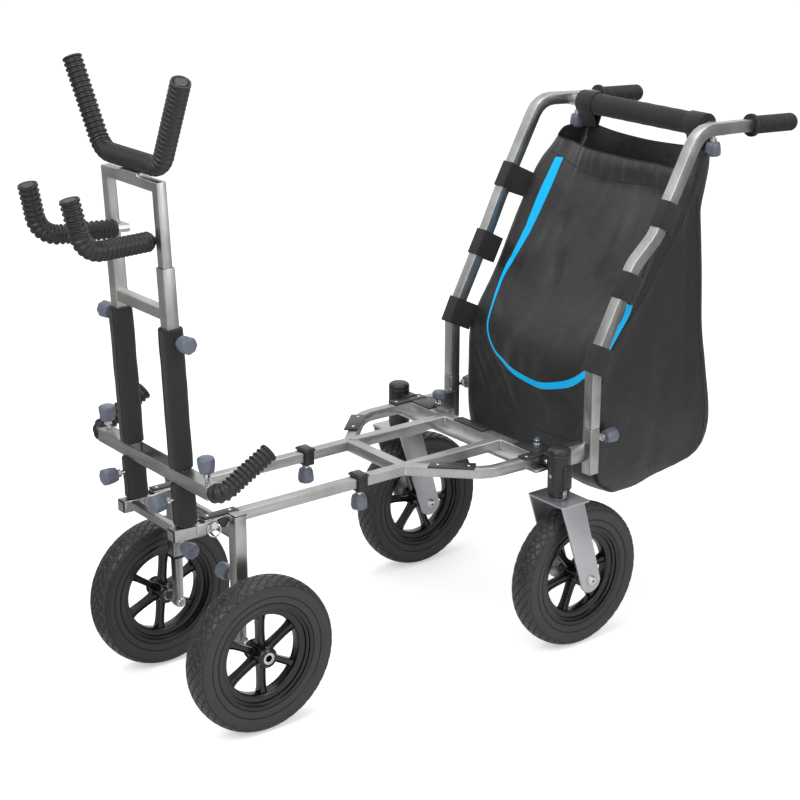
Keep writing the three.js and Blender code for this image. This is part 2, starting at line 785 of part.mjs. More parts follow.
function railClampGeometry() {
  const y = frontY + clampSetback;
  const inside = railSize / 2 + slideGap;
  const block = span(railX - clampWidth / 2, railX + clampWidth / 2, y - clampDepth / 2, y + clampDepth / 2,
    deckHeight - clampFootDrop, deckHeight + clampTopWall);
  const way = span(railX - inside, railX + inside, y - clampDepth, y + clampDepth,
    railZ - inside, railZ + inside);
  return cut(block, [way]);
}

// Caster housing: a domed pot with a bore for the fork's stem, and a bracket to the outer tube.
function housingGeometry() {
  const r = casterHousingRadius;
  const pot = new THREE.LatheGeometry([
    [0, casterHousingBottom],
    [r, casterHousingBottom],
    [r, casterHousingTop - casterDome],
    [r - casterDome, casterHousingTop],
    [0, casterHousingTop],
  ].map(([radius, z]) => new THREE.Vector2(radius, z)), roundSides);
  pot.rotateX(Math.PI / 2).translate(casterX, casterY, 0);
  const bracket = span(outerX + railSize / 2 + gap, casterX,
    casterY - bracketDepth / 2, casterY + bracketDepth / 2,
    deckHeight - railSize + gap, deckHeight + bracketRise);
  const boreTop = casterStemTop + turnGap;
  const bore = new THREE.CylinderGeometry(casterStemRadius + turnGap, casterStemRadius + turnGap,
    boreTop - casterHousingBottom + overrun, roundSides);
  bore.rotateX(Math.PI / 2).translate(casterX, casterY, (boreTop + casterHousingBottom - overrun) / 2);
  return cut(join([pot, bracket]), [bore]);
}

// Caster fork: a folded plate with two legs, and the stem that turns in the housing.
function forkGeometry() {
  const plateHalf = forkPlateWidth / 2;
  const plate = span(casterX - plateHalf, casterX + plateHalf,
    casterY - forkPlateFront, casterY + forkPlateRear,
    forkPlateTop - forkPlateThickness, forkPlateTop);
  const legShape = new THREE.Shape();
  legShape.moveTo(casterY - forkLegTopFront, forkPlateTop - weldSink);
  legShape.absarc(rearY, wheelRadius, forkFootRadius, Math.PI + forkFootTurn, 2 * Math.PI - forkFootTurn);
  legShape.lineTo(casterY + forkLegTopRear, forkPlateTop - weldSink);
  const legOuter = casterX + plateHalf - forkLegInset;
  const leg = raised(legShape, forkLegThickness).rotateX(Math.PI / 2).rotateZ(Math.PI / 2);
  const legStarts = [legOuter - forkLegThickness, 2 * casterX - legOuter];
  const legs = legStarts.map((x) => leg.clone().translate(x, 0, 0));
  const upright = (radius, z0, z1) => new THREE.CylinderGeometry(radius, radius, z1 - z0, roundSides)
    .rotateX(Math.PI / 2).translate(casterX, casterY, (z0 + z1) / 2);
  const collar = upright(casterCollarRadius, forkPlateTop - weldSink, casterHousingBottom - gap);
  const stem = upright(casterStemRadius, forkPlateTop - weldSink, casterStemTop);
  const bore = rod(axleRadius + turnGap, casterX - forkPlateWidth, casterX + forkPlateWidth,
    rearY, wheelRadius);
  return cut(join([plate, ...legs, collar, stem]), [bore]);
}

// Rear axle: a bolt across the fork, with spacers that centre the hub.
function rearAxleGeometry() {
  const forkOuter = forkPlateWidth / 2 - forkLegInset;
  const forkInner = forkOuter - forkLegThickness;
  const hubHalf = hubLength / 2;
  const ends = forkOuter + gap;
  const pieces = [rod(axleRadius, -ends - axleHeadLength, ends + axleHeadLength, 0, 0)];
  for (const side of [1, -1]) {
    const spacer = [side * (hubHalf + gap), side * (forkInner - gap)].sort((a, b) => a - b);
    const head = [side * ends, side * (ends + axleHeadLength)].sort((a, b) => a - b);
    pieces.push(rod(axleSpacerRadius, spacer[0], spacer[1], 0, 0));
    pieces.push(rod(axleHeadRadius, head[0], head[1], 0, 0, knobSides));
  }
  return join(pieces).translate(casterX, rearY, wheelRadius);
}

// Side tube of the handle frame, from its socket up to the grip.
const gripSlope = -gripFall / gripLength;
const handleKnots = bentPath([
  [handleX, handleY, handleSocketTop + gap],
  [handleX, handleY, deckHeight + handleBendRise],
  [handleX, rearY + handleKinkSetback, deckHeight + handleKinkRise],
  [handleUpperSpread / 2, rearY + handleJogSetback, deckHeight + handleJogRise],
  [handleUpperSpread / 2, rearY + handleTopSetback, handleTopHeight],
  [gripSpread / 2, rearY + gripSetback - gripLead, gripHeight - gripSlope * gripLead],
  [gripSpread / 2, rearY + gripSetback, gripHeight],
], handleBend);

const gripStart = handleKnots[handleKnots.length - 1];
const gripDirection = new THREE.Vector3(0, gripLength, -gripFall).normalize();

function alongGrip(geometry) {
  const turn = new THREE.Quaternion().setFromUnitVectors(up, gripDirection);
  return geometry.applyQuaternion(turn).translate(gripStart.x, gripStart.y, gripStart.z);
}

function handleFrameGeometry() {
  const tube = swept(squareShape(handleSize), handleKnots);
  const spigot = span(handleX - legSize / 2, handleX + legSize / 2,
    handleY - legSize / 2, handleY + legSize / 2,
    deckHeight - handleSpigotDrop, handleSocketTop + handleSize / 2);
  const gripRod = gripLength - gripCap;
  const plug = new THREE.CylinderGeometry(gripSpigotRadius, gripSpigotRadius, gripRod + overrun, roundSides);
  const gripSpigot = alongGrip(plug.translate(0, (gripRod - overrun) / 2, 0));
  const pieces = [tube, spigot, gripSpigot];
  const crossHalf = handleUpperSpread / 2 - handleSize / 4;
  const cross = rod(crossHandleRadius, -crossHalf, crossHalf, rearY + crossHandleSetback, crossHandleHeight);
  return join([...pieces, ...pieces.map(mirrored), cross]);
}

function gripGeometry() {
  const bore = gripSpigotRadius + turnGap;
  const outline = [
    [bore, gap],
    [gripFlangeRadius, gap],
    [gripFlangeRadius, gripFlangeLength],
    [gripRadius, gripFlangeLength + gap],
    [gripRadius, gripLength - gripCap],
    [gripRadius - gripCap, gripLength],
    [0, gripLength],
    [0, gripLength - gripCap + gap],
    [bore, gripLength - gripCap + gap],
    [bore, gap],
  ];
  const points = outline.map(([radius, along]) => new THREE.Vector2(radius, along));
  return alongGrip(new THREE.LatheGeometry(points, roundSides));
}

// The bag is a sagging shell, open at its mouth. Each row gives a level's height, front and rear places, and
// half width, as shares of the bag's height, depth and half width.
const bagRowShares = [
  [0, 0.21, 0.86, 0.74],
  [0.035, 0.09, 0.945, 0.94],
  [0.108, 0.012, 0.997, 0.975],
  [0.243, 0, 0.975, 0.99],
  [0.388, 0.024, 0.917, 1],
  [0.558, 0.171, 0.882, 1],
  [0.708, 0.334, 0.852, 1],
  [0.843, 0.491, 0.834, 0.99],
  [0.94, 0.61, 0.87, 0.97],
  [1, 0.686, 0.873, 0.93],
];

function bagRing(row, inset) {
  const [heightShare, frontShare, rearShare, widthShare] = row;
  const y0 = rearY + bagFrontSetback + bagDepth * frontShare + inset;
  const y1 = rearY + bagFrontSetback + bagDepth * rearShare - inset;
  const halfX = bagHalfWidth * widthShare - inset;
  const halfY = (y1 - y0) / 2;
  const corner = bagCorner - inset;
  const points = [];
  const turns = [[1, 1, 0], [-1, 1, 1], [-1, -1, 2], [1, -1, 3]];
  for (const [sideX, sideY, quarter] of turns) {
    for (let step = 0; step <= bagCornerSteps; step += 1) {
      const turn = (quarter + step / bagCornerSteps) * (Math.PI / 2);
      const x = sideX * (halfX - corner) + corner * Math.cos(turn);
      const y = (y0 + y1) / 2 + sideY * (halfY - corner) + corner * Math.sin(turn);
      points.push([x, y, bagBottom + (bagTop - bagBottom) * heightShare]);
    }
  }
  return points;
}

function bagShellGeometry() {
  const outside = bagRowShares.map((row) => bagRing(row, 0));
  const inside = bagRowShares.map((row) => bagRing(row, bagWall)).reverse();
  const floor = inside[inside.length - 1];
  for (const point of floor) point[2] += bagWall;
  const rings = [...outside, ...inside];
  const count = rings[0].length;
  const points = rings.flat(2);
  const faces = [];
  for (let ring = 1; ring < rings.length; ring += 1) {
    for (let i = 0; i < count; i += 1) {
      const next = (i + 1) % count;
      const [a, b] = [(ring - 1) * count + i, (ring - 1) * count + next];
      const [c, d] = [ring * count + i, ring * count + next];
      faces.push(a, b, c, b, d, c);
    }
  }
  for (let i = 1; i < count - 1; i += 1) {
    const last = (rings.length - 1) * count;
    faces.push(0, i + 1, i, last, last + i, last + i + 1);
  }
  const geometry = new THREE.BufferGeometry();
  geometry.setAttribute('position', new THREE.Float32BufferAttribute(points, 3));
  geometry.setIndex(faces);
  return closed(geometry);
}

// The knots of the part of a path between two heights.
function pathBetween(knots, low, high) {
  const at = (height) => {
    const next = knots.findIndex((knot) => knot.z > height);
    const run = knots[next].clone().sub(knots[next - 1]);
    return knots[next - 1].clone().addScaledVector(run, (height - knots[next - 1].z) / run.z);
  };
  return [at(low), ...knots.filter((knot) => knot.z > low && knot.z < high), at(high)];
}

// A strap that loops round the side tube at a height, with a tail sewn to the bag's side.
function strapGeometry(height) {
  const half = strapLength / 2;
  const [low, high] = pathBetween(handleKnots, height - half / 2, height + half / 2);
  const lean = Math.atan2(high.y - low.y, high.z - low.z);
  const rise = half * Math.cos(lean);
  const inside = handleSize + 2 * slideGap;
  const outside = inside + 2 * strapThickness;
  const band = swept(squareShape(outside), pathBetween(handleKnots, height - rise, height + rise));
  const route = pathBetween(handleKnots, height - rise - overrun, height + rise + overrun);
  const way = swept(squareShape(inside), route);
  const centre = pathBetween(handleKnots, height, height + gap)[0];
  const seam = bagHalfWidth - bagWall / 2 - centre.x;
  const tailShape = new THREE.Shape([
    new THREE.Vector2(-outside / 2, 0),
    new THREE.Vector2(-inside / 2, 0),
    new THREE.Vector2(-inside / 2, outside / 2),
    new THREE.Vector2(seam + strapThickness, strapTail),
    new THREE.Vector2(seam, strapTail),
    new THREE.Vector2(-outside / 2, outside / 2 + strapThickness),
  ]);
  const tail = raised(tailShape, strapLength).translate(0, 0, -half).rotateX(-lean);
  tail.translate(centre.x, centre.y, centre.z);
  return cut(join([band, tail]), [way]);
}

// A strap from the bag's back panel, looped round the foam of the cross handle.
function topStrapGeometry() {
  const x0 = topStrapHalf - topStrapWidth / 2;
  const x1 = topStrapHalf + topStrapWidth / 2;
  const y = rearY + crossHandleSetback;
  const inside = crossFoamRadius + slideGap;
  const loop = rod(inside + strapThickness, x0, x1, y, crossHandleHeight);
  const hole = rod(inside, x0 - overrun, x1 + overrun, y, crossHandleHeight);
  const tailY = rearY + bagFrontSetback + bagDepth * bagRowShares[bagRowShares.length - 1][2];
  const tail = span(x0, x1, tailY - bagWall, tailY, bagTop - topStrapOverlap, crossHandleHeight);
  return cut(join([loop, tail]), [hole]);
}

function bagGeometry() {
  const straps = strapRises.map((rise) => strapGeometry(deckHeight + rise));
  const sidePieces = [...straps, topStrapGeometry()];
  return join([bagShellGeometry(), ...sidePieces, ...sidePieces.map(mirrored)]);
}

const mast = new THREE.Group();
mast.position.set(0, frontY - mastLead, stubTopZ);
mast.rotation.x = mastLean;
mast.updateMatrix();
trolley.add(mast);

addWheel('front_left', frontWheelX, frontY, wheelTurnSteps[0]);
addWheel('front_right', -frontWheelX, frontY, wheelTurnSteps[1]);
addWheel('rear_left', casterX, rearY, wheelTurnSteps[2]);
addWheel('rear_right', -casterX, rearY, wheelTurnSteps[3]);

add('deck_frame', deckGeometry(), steel);
addPair('front_leg', legGeometry(), steel);
add('mast_foot', mastFootGeometry(), steel);
addPair('mast_pivot_bolt', crossPinGeometry(railX - railSize / 2 - cheekThickness + gap + weldSink,
  pivotY, pivotCapRadius, pivotCapLength), blackPlastic);
addPair('mast_lock_pin', crossPinGeometry(railX + railSize / 2 + gap,
  pivotY - lockPinLead, lockPinHeadRadius, lockPinHeadLength), zinc);
addPair('front_pad', span(railX - padWidth / 2, railX + padWidth / 2, noseY, frontY + frontPadRear,
  deckHeight + gap, padTopZ), blackPlastic);
addPair('rail_clamp', railClampGeometry(), blackPlastic);
addPair('caster_housing', housingGeometry(), blackPlastic);
addPair('caster_fork', forkGeometry(), zinc);
addPair('rear_axle_bolt', rearAxleGeometry(), zinc);

add('mast_posts', postsGeometry(), steel, mast);
addPair('lower_sleeve', sleeveGeometry(lowerSleeveStart, lowerSleeveTop, box(sleeveHoleSize, sleeveSize,
  sleeveHoleSize, postX, -sleeveSize / 2, lowerKnobHeight)), foam, mast);
addPair('upper_sleeve', sleeveGeometry(upperSleeveStart, upperSleeveTop, box(sleeveSize, sleeveHoleSize,
  sleeveHoleSize, postX + sleeveSize / 2, 0, upperKnobHeight)), foam, mast);
add('inner_mast_frame', innerFrameGeometry(), steel, mast);
add('top_rest_rod', swept(roundShape(rodRadius, rodSides), topRestKnots(overrun)), steel, mast);
add('top_rest_hose', ribbedHose(topRestKnots(0), topRestRibs), hosePlastic, mast);
addPair('hook_hose', ribbedHose(hookKnots(false), hookRibs), hosePlastic, mast);
add('cross_rest', crossRestGeometry(), steel, mast);
addPair('rest_arm_rod', swept(roundShape(rodRadius, rodSides), armKnots(true)), steel, mast);
addPair('rest_arm_hose', ribbedHose(armKnots(false), armRibs), hosePlastic, mast);

addKnobs('leg_knob', legKnobStud, legX - socketSize / 2 - gap, frontY, deckHeight - legKnobDrop,
  [-1, 0, 0]);
addKnobs('lower_mast_knob', lowerKnobStud, postX, -postFace, lowerKnobHeight, [0, -1, 0], mast);
addKnobs('upper_mast_knob', upperKnobStud, postX + postFace, 0, upperKnobHeight, [1, 0, 0], mast);
addKnobs('rest_arm_knob', armKnobStud, armKnobHalf, 0, crossRestStart + crossRestHeight + gap,
  [0, 0, 1], mast);
addKnobs('rail_clamp_knob', clampKnobStud, railX, frontY + clampSetback,
  deckHeight - clampFootDrop - gap, [0, 0, -1]);
addKnobs('handle_knob', handleKnobStud, handleX, handleY + socketSize / 2 + gap,
  deckHeight + handleKnobRise, [0, 1, 0]);
addKnobs('cross_handle_knob', gripKnobStud, gripKnobHalf, rearY + crossHandleSetback,
  crossHandleHeight - crossHandleRadius - gap, [0, 0, -1]);

add('handle_frame', handleFrameGeometry(), steel);
addPair('hand_grip', gripGeometry(), blackPlastic);
add('cross_handle_foam', turned([
  [crossHandleRadius + turnGap, -crossFoamHalf],
  [crossFoamRadius, -crossFoamHalf],
  [crossFoamRadius, crossFoamHalf],
  [crossHandleRadius + turnGap, crossFoamHalf],
], roundSides).translate(0, rearY + crossHandleSetback, crossHandleHeight), foam);
add('bag', bagGeometry(), bagFabric);

// The frame's origin is on the ground, under the middle of the whole trolley.
const extent = new THREE.Box3().setFromObject(trolley, true);
trolley.position.y = -(extent.min.y + extent.max.y) / 2;

export default trolley;
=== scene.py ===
import math

import bmesh
import bpy
from mathutils import Matrix, Vector, noise


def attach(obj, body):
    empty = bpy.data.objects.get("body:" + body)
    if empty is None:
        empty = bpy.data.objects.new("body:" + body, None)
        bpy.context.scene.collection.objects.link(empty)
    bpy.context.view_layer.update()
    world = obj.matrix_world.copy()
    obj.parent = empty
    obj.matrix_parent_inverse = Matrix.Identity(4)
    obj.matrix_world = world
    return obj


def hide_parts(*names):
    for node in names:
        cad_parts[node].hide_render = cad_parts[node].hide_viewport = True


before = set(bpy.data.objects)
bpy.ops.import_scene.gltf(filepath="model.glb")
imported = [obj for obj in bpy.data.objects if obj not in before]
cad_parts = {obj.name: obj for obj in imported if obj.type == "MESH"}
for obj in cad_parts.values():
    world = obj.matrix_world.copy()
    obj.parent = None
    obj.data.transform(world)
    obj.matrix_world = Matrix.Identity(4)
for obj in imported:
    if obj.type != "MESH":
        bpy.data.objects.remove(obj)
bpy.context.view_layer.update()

# Camera and studio: the photograph was taken from the mast's end and the trolley's left, slightly above it, with
# a long lens, on a seamless white table under wide soft lamps.
camera_data = bpy.data.cameras.new("camera")
camera_data.sensor_width = 36
camera_data.lens = 84.9
camera = bpy.data.objects.new("camera", camera_data)
camera.location = (2.8017, -2.1986, 1.6982)
camera.rotation_euler = (math.radians(71.21), 0, math.radians(52.48))
bpy.context.collection.objects.link(camera)
bpy.context.scene.camera = camera
bpy.context.scene.view_settings.view_transform = "Standard"


def srgb(code):
    channels = [int(code[i:i + 2], 16) / 255 for i in (1, 3, 5)]
    return (*[c / 12.92 if c <= 0.04045 else ((c + 0.055) / 1.055) ** 2.4 for c in channels], 1.0)


def add_node(tree, kind, inputs, **settings):
    node = tree.nodes.new(kind)
    for key, value in settings.items():
        setattr(node, key, value)
    for key, value in inputs.items():
        if isinstance(value, bpy.types.NodeSocket):
            tree.links.new(value, node.inputs[key])
        else:
            node.inputs[key].default_value = value
    return node


def new_material(name):
    material = bpy.data.materials.new(name)
    material.use_nodes = True
    material.node_tree.nodes.clear()
    return material, material.node_tree


def linked(name, data):
    item = bpy.data.objects.new(name, data)
    bpy.context.collection.objects.link(item)
    return item


world = bpy.data.worlds.new("studio")
world.use_nodes = True
bpy.context.scene.world = world
sky = world.node_tree
sky.nodes.clear()
rays = add_node(sky, "ShaderNodeLightPath", {})
seen = add_node(sky, "ShaderNodeMath", {0: rays.outputs["Is Camera Ray"], 1: rays.outputs["Is Glossy Ray"]},
                operation="MAXIMUM")
seen = add_node(sky, "ShaderNodeMath", {0: seen.outputs[0], 1: rays.outputs["Is Transmission Ray"]},
                operation="MAXIMUM")
lit = add_node(sky, "ShaderNodeBackground", {"Color": (1, 1, 1, 1), "Strength": 0.62})
shown = add_node(sky, "ShaderNodeBackground", {"Color": (1, 1, 1, 1), "Strength": 1.0})
blend = add_node(sky, "ShaderNodeMixShader", {0: seen.outputs[0], 1: lit.outputs[0], 2: shown.outputs[0]})
add_node(sky, "ShaderNodeOutputWorld", {"Surface": blend.outputs[0]})


def add_lamp(name, place, aim, size, watts):
    data = bpy.data.lights.new(name, "AREA")
    data.size = size
    data.energy = watts
    lamp = linked(name, data)
    lamp.location = place
    lamp.rotation_euler = (Vector(aim) - Vector(place)).to_track_quat("-Z", "Y").to_euler()


add_lamp("key_lamp", (0.8, -3.2, 3.2), (0, 0, 0.4), 2.2, 60)
add_lamp("side_lamp", (3.4, 1.2, 2.2), (0, 0.2, 0.5), 1.6, 34)
add_lamp("top_lamp", (-0.4, 0.3, 3.8), (0, 0.1, 0.3), 2.6, 34)


def staged_sheet(name, bm, material):
    mesh = bpy.data.meshes.new(name)
    bm.to_mesh(mesh)
    bm.free()
    mesh.materials.append(material)
    sheet = linked(name, mesh)
    return sheet


table_half = 40
paper, tree = new_material("white_table_paper")
rays = add_node(tree, "ShaderNodeLightPath", {})
sheen = add_node(tree, "ShaderNodeBsdfDiffuse", {"Color": srgb("#f7f7f7")})
glow = add_node(tree, "ShaderNodeEmission", {"Color": (1, 1, 1, 1), "Strength": 0.45})
both = add_node(tree, "ShaderNodeAddShader", {0: sheen.outputs[0], 1: glow.outputs[0]})
mixed = add_node(tree, "ShaderNodeMixShader",
                 {0: rays.outputs["Is Camera Ray"], 1: sheen.outputs[0], 2: both.outputs[0]})
add_node(tree, "ShaderNodeOutputMaterial", {"Surface": mixed.outputs[0]})
bm = bmesh.new()
bmesh.ops.create_grid(bm, x_segments=1, y_segments=1, size=table_half)
staged_sheet("table", bm, paper)

# Grey cards at both ends of the table give the bright steel its darker sides. Only reflections show them. Each has
# its near corner and its width and height or reach, in metres, in the photograph's direction.
card_turn = Matrix.Rotation(math.radians(52.5), 3, "Z")
card_lift = 0.003
for name, shade, corner, (width, reach), stands in [
    ("front_card", "#b4b4b4", (-1.3, -0.2), (2.6, 1.3), True),
    ("front_floor_card", "#9a9a9a", (-1.3, -0.2), (2.6, 0.6), False),
    ("rear_card", "#b0b0b0", (1.35, 0.3), (2.6, 1.3), True),
]:
    card_paint, tree = new_material(name)
    matt = add_node(tree, "ShaderNodeBsdfDiffuse", {"Color": srgb(shade)})
    add_node(tree, "ShaderNodeOutputMaterial", {"Surface": matt.outputs[0]})
    bm = bmesh.new()
    bmesh.ops.create_grid(bm, x_segments=1, y_segments=1, size=0.5)
    bmesh.ops.scale(bm, vec=(reach, width, 1), verts=bm.verts)
    bmesh.ops.translate(bm, vec=(reach / 2, 0, card_lift), verts=bm.verts)
    if stands:
        bmesh.ops.rotate(bm, cent=(0, 0, 0), matrix=Matrix.Rotation(-math.pi / 2, 3, "Y"), verts=bm.verts)
    bmesh.ops.translate(bm, vec=(*corner, 0), verts=bm.verts)
    bmesh.ops.rotate(bm, cent=(0, 0, 0), matrix=card_turn, verts=bm.verts)
    card = staged_sheet(name, bm, card_paint)
    card.visible_camera = False
    card.visible_diffuse = False
    card.visible_shadow = False

# Frame tubes: 20 and 24 mm square steel tube, cold drawn, with rounded edges, cut, welded and left bright. The
# pieces are drawn in millimetres from the ground midway between the axles, and a finished piece is brought to
# metres and to the frame's origin.
millimetre = 0.001
axle_middle = Vector((0, -154.273, 0))
tube_edge = 1.6
noise_falloff = 0.55


def per_size(size):
    return 1 / (size * millimetre)


def close_material(tree, inputs):
    surface = add_node(tree, "ShaderNodeBsdfPrincipled", inputs)
    add_node(tree, "ShaderNodeOutputMaterial", {"Surface": surface.outputs[0]})


# A surface in patches of two close shades, whose grain roughens and raises it. The patches and the grain are given
# by a size in millimetres and a detail, or the grain by a function of its own, and the relief by its height in
# millimetres. A roughness that is the same all over is one number.
def grained(name, shades, patches, grain, roughness, height, inputs=None):
    material, tree = new_material(name)
    place = add_node(tree, "ShaderNodeTexCoord", {}).outputs["Object"]
    tone, relief = [
        add_node(tree, "ShaderNodeTexNoise", {
            "Vector": place, "Scale": per_size(pattern[0]), "Detail": pattern[1], "Roughness": noise_falloff,
        }).outputs["Fac"] if isinstance(pattern, tuple) else pattern(tree, place)
        for pattern in (patches, grain)]
    color = add_node(tree, "ShaderNodeMix", {0: tone, 6: srgb(shades[0]), 7: srgb(shades[1])}, data_type="RGBA")
    if isinstance(roughness, tuple):
        roughness = add_node(tree, "ShaderNodeMapRange", {
            "Value": relief, "From Min": 0.3, "From Max": 0.7, "To Min": roughness[0], "To Max": roughness[1],
        }).outputs["Result"]
    raised = add_node(tree, "ShaderNodeBump", {"Height": relief, "Distance": height * millimetre, "Strength": 1.0})
    close_material(tree, {"Base Color": color.outputs[2], "Roughness": roughness, "Normal": raised.outputs["Normal"],
                          **(inputs or {})})
    return material


# Bright drawn steel: grey, half gloss, with mill clouds and drawing marks that run along each tube. The marks are
# drawn 5 mm apart, coarser than real ones, so that they show.
def drawn_steel(name, run):
    material, tree = new_material(name)
    place = add_node(tree, "ShaderNodeTexCoord", {}).outputs["Object"]
    along = add_node(tree, "ShaderNodeMapping", {"Vector": place, "Scale": run}).outputs[0]
    clouds, marks = [
        add_node(tree, "ShaderNodeTexNoise", {
            "Vector": vector, "Scale": per_size(size), "Detail": 2, "Roughness": noise_falloff}).outputs["Fac"]
        for vector, size in ((place, 60), (along, 5))]
    pale_share, mark_share, roughness = [
        add_node(tree, "ShaderNodeMapRange", {
            "Value": value, "From Min": low, "From Max": 1 - low, "To Min": least, "To Max": most}).outputs["Result"]
        for value, low, least, most in ((clouds, 0.35, 0, 1), (marks, 0.35, 0, 0.3), (clouds, 0.3, 0.31, 0.38))]
    shade = srgb("#a6a6a5")
    for share, other in ((pale_share, srgb("#bcbcba")), (mark_share, srgb("#989897"))):
        shade = add_node(tree, "ShaderNodeMix", {0: share, 6: shade, 7: other}, data_type="RGBA").outputs[2]
    raised = add_node(tree, "ShaderNodeBump", {"Height": marks, "Distance": 0.005 * millimetre, "Strength": 1.0})
    close_material(tree, {"Base Color": shade, "Metallic": 1.0, "Roughness": roughness,
                          "Normal": raised.outputs["Normal"]})
    return material


lengthwise_steel = drawn_steel("steel_drawn_lengthwise", (1, 0.04, 1))
upright_steel = drawn_steel("steel_drawn_upright", (1, 1, 0.04))
crosswise_steel = drawn_steel("steel_drawn_crosswise", (0.04, 1, 1))


def new_piece(name, bm, material, body, replaced=(), crease=32):
    bmesh.ops.translate(bm, vec=axle_middle, verts=bm.verts)
    bmesh.ops.scale(bm, vec=(millimetre,) * 3, verts=bm.verts)
    bm.normal_update()
    mesh = bpy.data.meshes.new(name)
    bm.to_mesh(mesh)
    bm.free()
    mesh.materials.append(material)
    mesh.shade_smooth()
    mesh.set_sharp_from_angle(angle=math.radians(crease))
    piece = linked(name, mesh)
    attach(piece, body)
    if replaced:
        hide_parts(*replaced)
    return piece


# One shape on both sides, drawn for the left. The star in a name stands for the side.
def new_pair(name, shape, material, body, replaced="", crease=32):
    return [
        new_piece(name.replace("*", side), bm, material, body.replace("*", side),
                  [replaced.replace("*", side)] if replaced else (), crease)
        for side, bm in (("left", shape), ("right", mirrored(shape)))]


shift = Matrix.Translation


def placed(bm, matrix):
    bmesh.ops.transform(bm, matrix=matrix, verts=bm.verts)
    return bm


def gathered(shapes):
    whole = bmesh.new()
    for shape in shapes:
        mesh = bpy.data.meshes.new("shape")
        shape.to_mesh(mesh)
        shape.free()
        whole.from_mesh(mesh)
        bpy.data.meshes.remove(mesh)
    return whole


def mirrored(bm):
    other = bm.copy()
    bmesh.ops.scale(other, vec=(-1, 1, 1), verts=other.verts)
    bmesh.ops.reverse_faces(other, faces=other.faces)
    return other


def sharp_edges(bm, degrees=50):
    return [e for e in bm.edges if e.calc_face_angle(0) > math.radians(degrees)]


def outer_edges(bm):
    return [e for e in bm.edges if e.calc_face_angle_signed(0) > math.radians(50)]


def upright_edges(bm):
    return [e for e in bm.edges if abs(e.verts[0].co.z - e.verts[1].co.z) > 1]


def bevelled(bm, edges, size, segments=2, clamp=False):
    bmesh.ops.bevel(bm, geom=edges, offset=size, segments=segments, profile=0.5, affect="EDGES", material=-1,
                    clamp_overlap=clamp)
    return bm


# A copy of a CAD node with its flat faces joined and its outer edges rounded, in millimetres as the rest is drawn.
def rounded_copy(node, edge):
    bm = bmesh.new()
    bm.from_mesh(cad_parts[node].data)
    bmesh.ops.scale(bm, vec=(1 / millimetre,) * 3, verts=bm.verts)
    bmesh.ops.translate(bm, vec=-axle_middle, verts=bm.verts)
    bmesh.ops.remove_doubles(bm, verts=bm.verts, dist=0.01)
    bmesh.ops.dissolve_limit(bm, angle_limit=math.radians(1), verts=bm.verts, edges=bm.edges)
    bmesh.ops.triangulate(bm, faces=[f for f in bm.faces if len(f.verts) > 4], ngon_method="EAR_CLIP")
    return bevelled(bm, outer_edges(bm), edge)


def block(low, high):
    bm = bmesh.new()
    bmesh.ops.create_cube(bm, size=1)
    low, high = Vector(low), Vector(high)
    bmesh.ops.scale(bm, vec=high - low, verts=bm.verts)
    bmesh.ops.translate(bm, vec=(low + high) / 2, verts=bm.verts)
    return bm


def soft_block(low, high, edge, segments=2):
    bm = block(low, high)
    return bevelled(bm, bm.edges[:], edge, segments)


# Gives a flat sheet its thickness.
def thickened(bm, reach):
    grown = bmesh.ops.extrude_face_region(bm, geom=bm.faces[:])["geom"]
    bmesh.ops.translate(bm, vec=reach, verts=[v for v in grown if isinstance(v, bmesh.types.BMVert)])
    bmesh.ops.recalc_face_normals(bm, faces=bm.faces)
    return bm


def flat_plate(points, low, high, edge=0.8):
    bm = bmesh.new()
    bm.faces.new([bm.verts.new((x, y, low)) for x, y in points])
    thickened(bm, (0, 0, high - low))
    return bevelled(bm, sharp_edges(bm), edge)


for node, body, steel in [
    ("deck_frame", "frame", lengthwise_steel), ("mast_foot", "mast_foot", lengthwise_steel),
    ("mast_posts", "mast", upright_steel), ("inner_mast_frame", "inner_mast", upright_steel),
    ("cross_rest", "mast", crosswise_steel), ("handle_frame", "handle", upright_steel),
]:
    new_piece(f"{node}_tubes", rounded_copy(node, tube_edge), steel, body, [node])

# Front crossbar: a block that stands 0.15 mm proud of the crossbar in the deck's copy, because rounding that copy
# leaves faulty faces along the bar's top.
crossbar = soft_block((-86, 33.85, 381.85), (86, 58.15, 402.15), tube_edge)
new_piece("front_crossbar", crossbar, crosswise_steel, "frame")

# Places that several parts share.
sides = (("left", 1), ("right", -1))
wheel_radius = 150
axle_y = 350
deck_top = 402
front_x = 176
caster_x = 257
rail_x = 89
post_x = 86.5

# Wheels: 300 mm solid rubber tyres on black plastic rims with six spokes, which turn on ball bearings.
tyre_steps = 720
tread_pitches = 40
tread_groove = 2.0
tread_depth = 2.8
tread_low = 141
tread_half_width = 26
tread_slope = 1.6
tyre_half = [
    (104.3, 20.0), (105.5, 22.6), (109, 24.0), (113.5, 24.6), (116.8, 24.8), (117.6, 23.6), (118.6, 23.6),
    (119.5, 25.4), (126, 26.9), (133, 27.4), (137.5, 27.2), (138.4, 26.2), (139.4, 26.2), (140.2, 26.8),
    (141.8, 26.2), (143.2, 25.0), (144.4, 23.6), (145.4, 22.0), (146.3, 20.2), (147.1, 18.2), (147.8, 16.2),
    (148.3, 14.2), (148.8, 12.2), (149.2, 10.2), (149.5, 8.2), (149.7, 6.2), (149.9, 4.2), (150.0, 2.2),
    (150.0, 0.7),
]


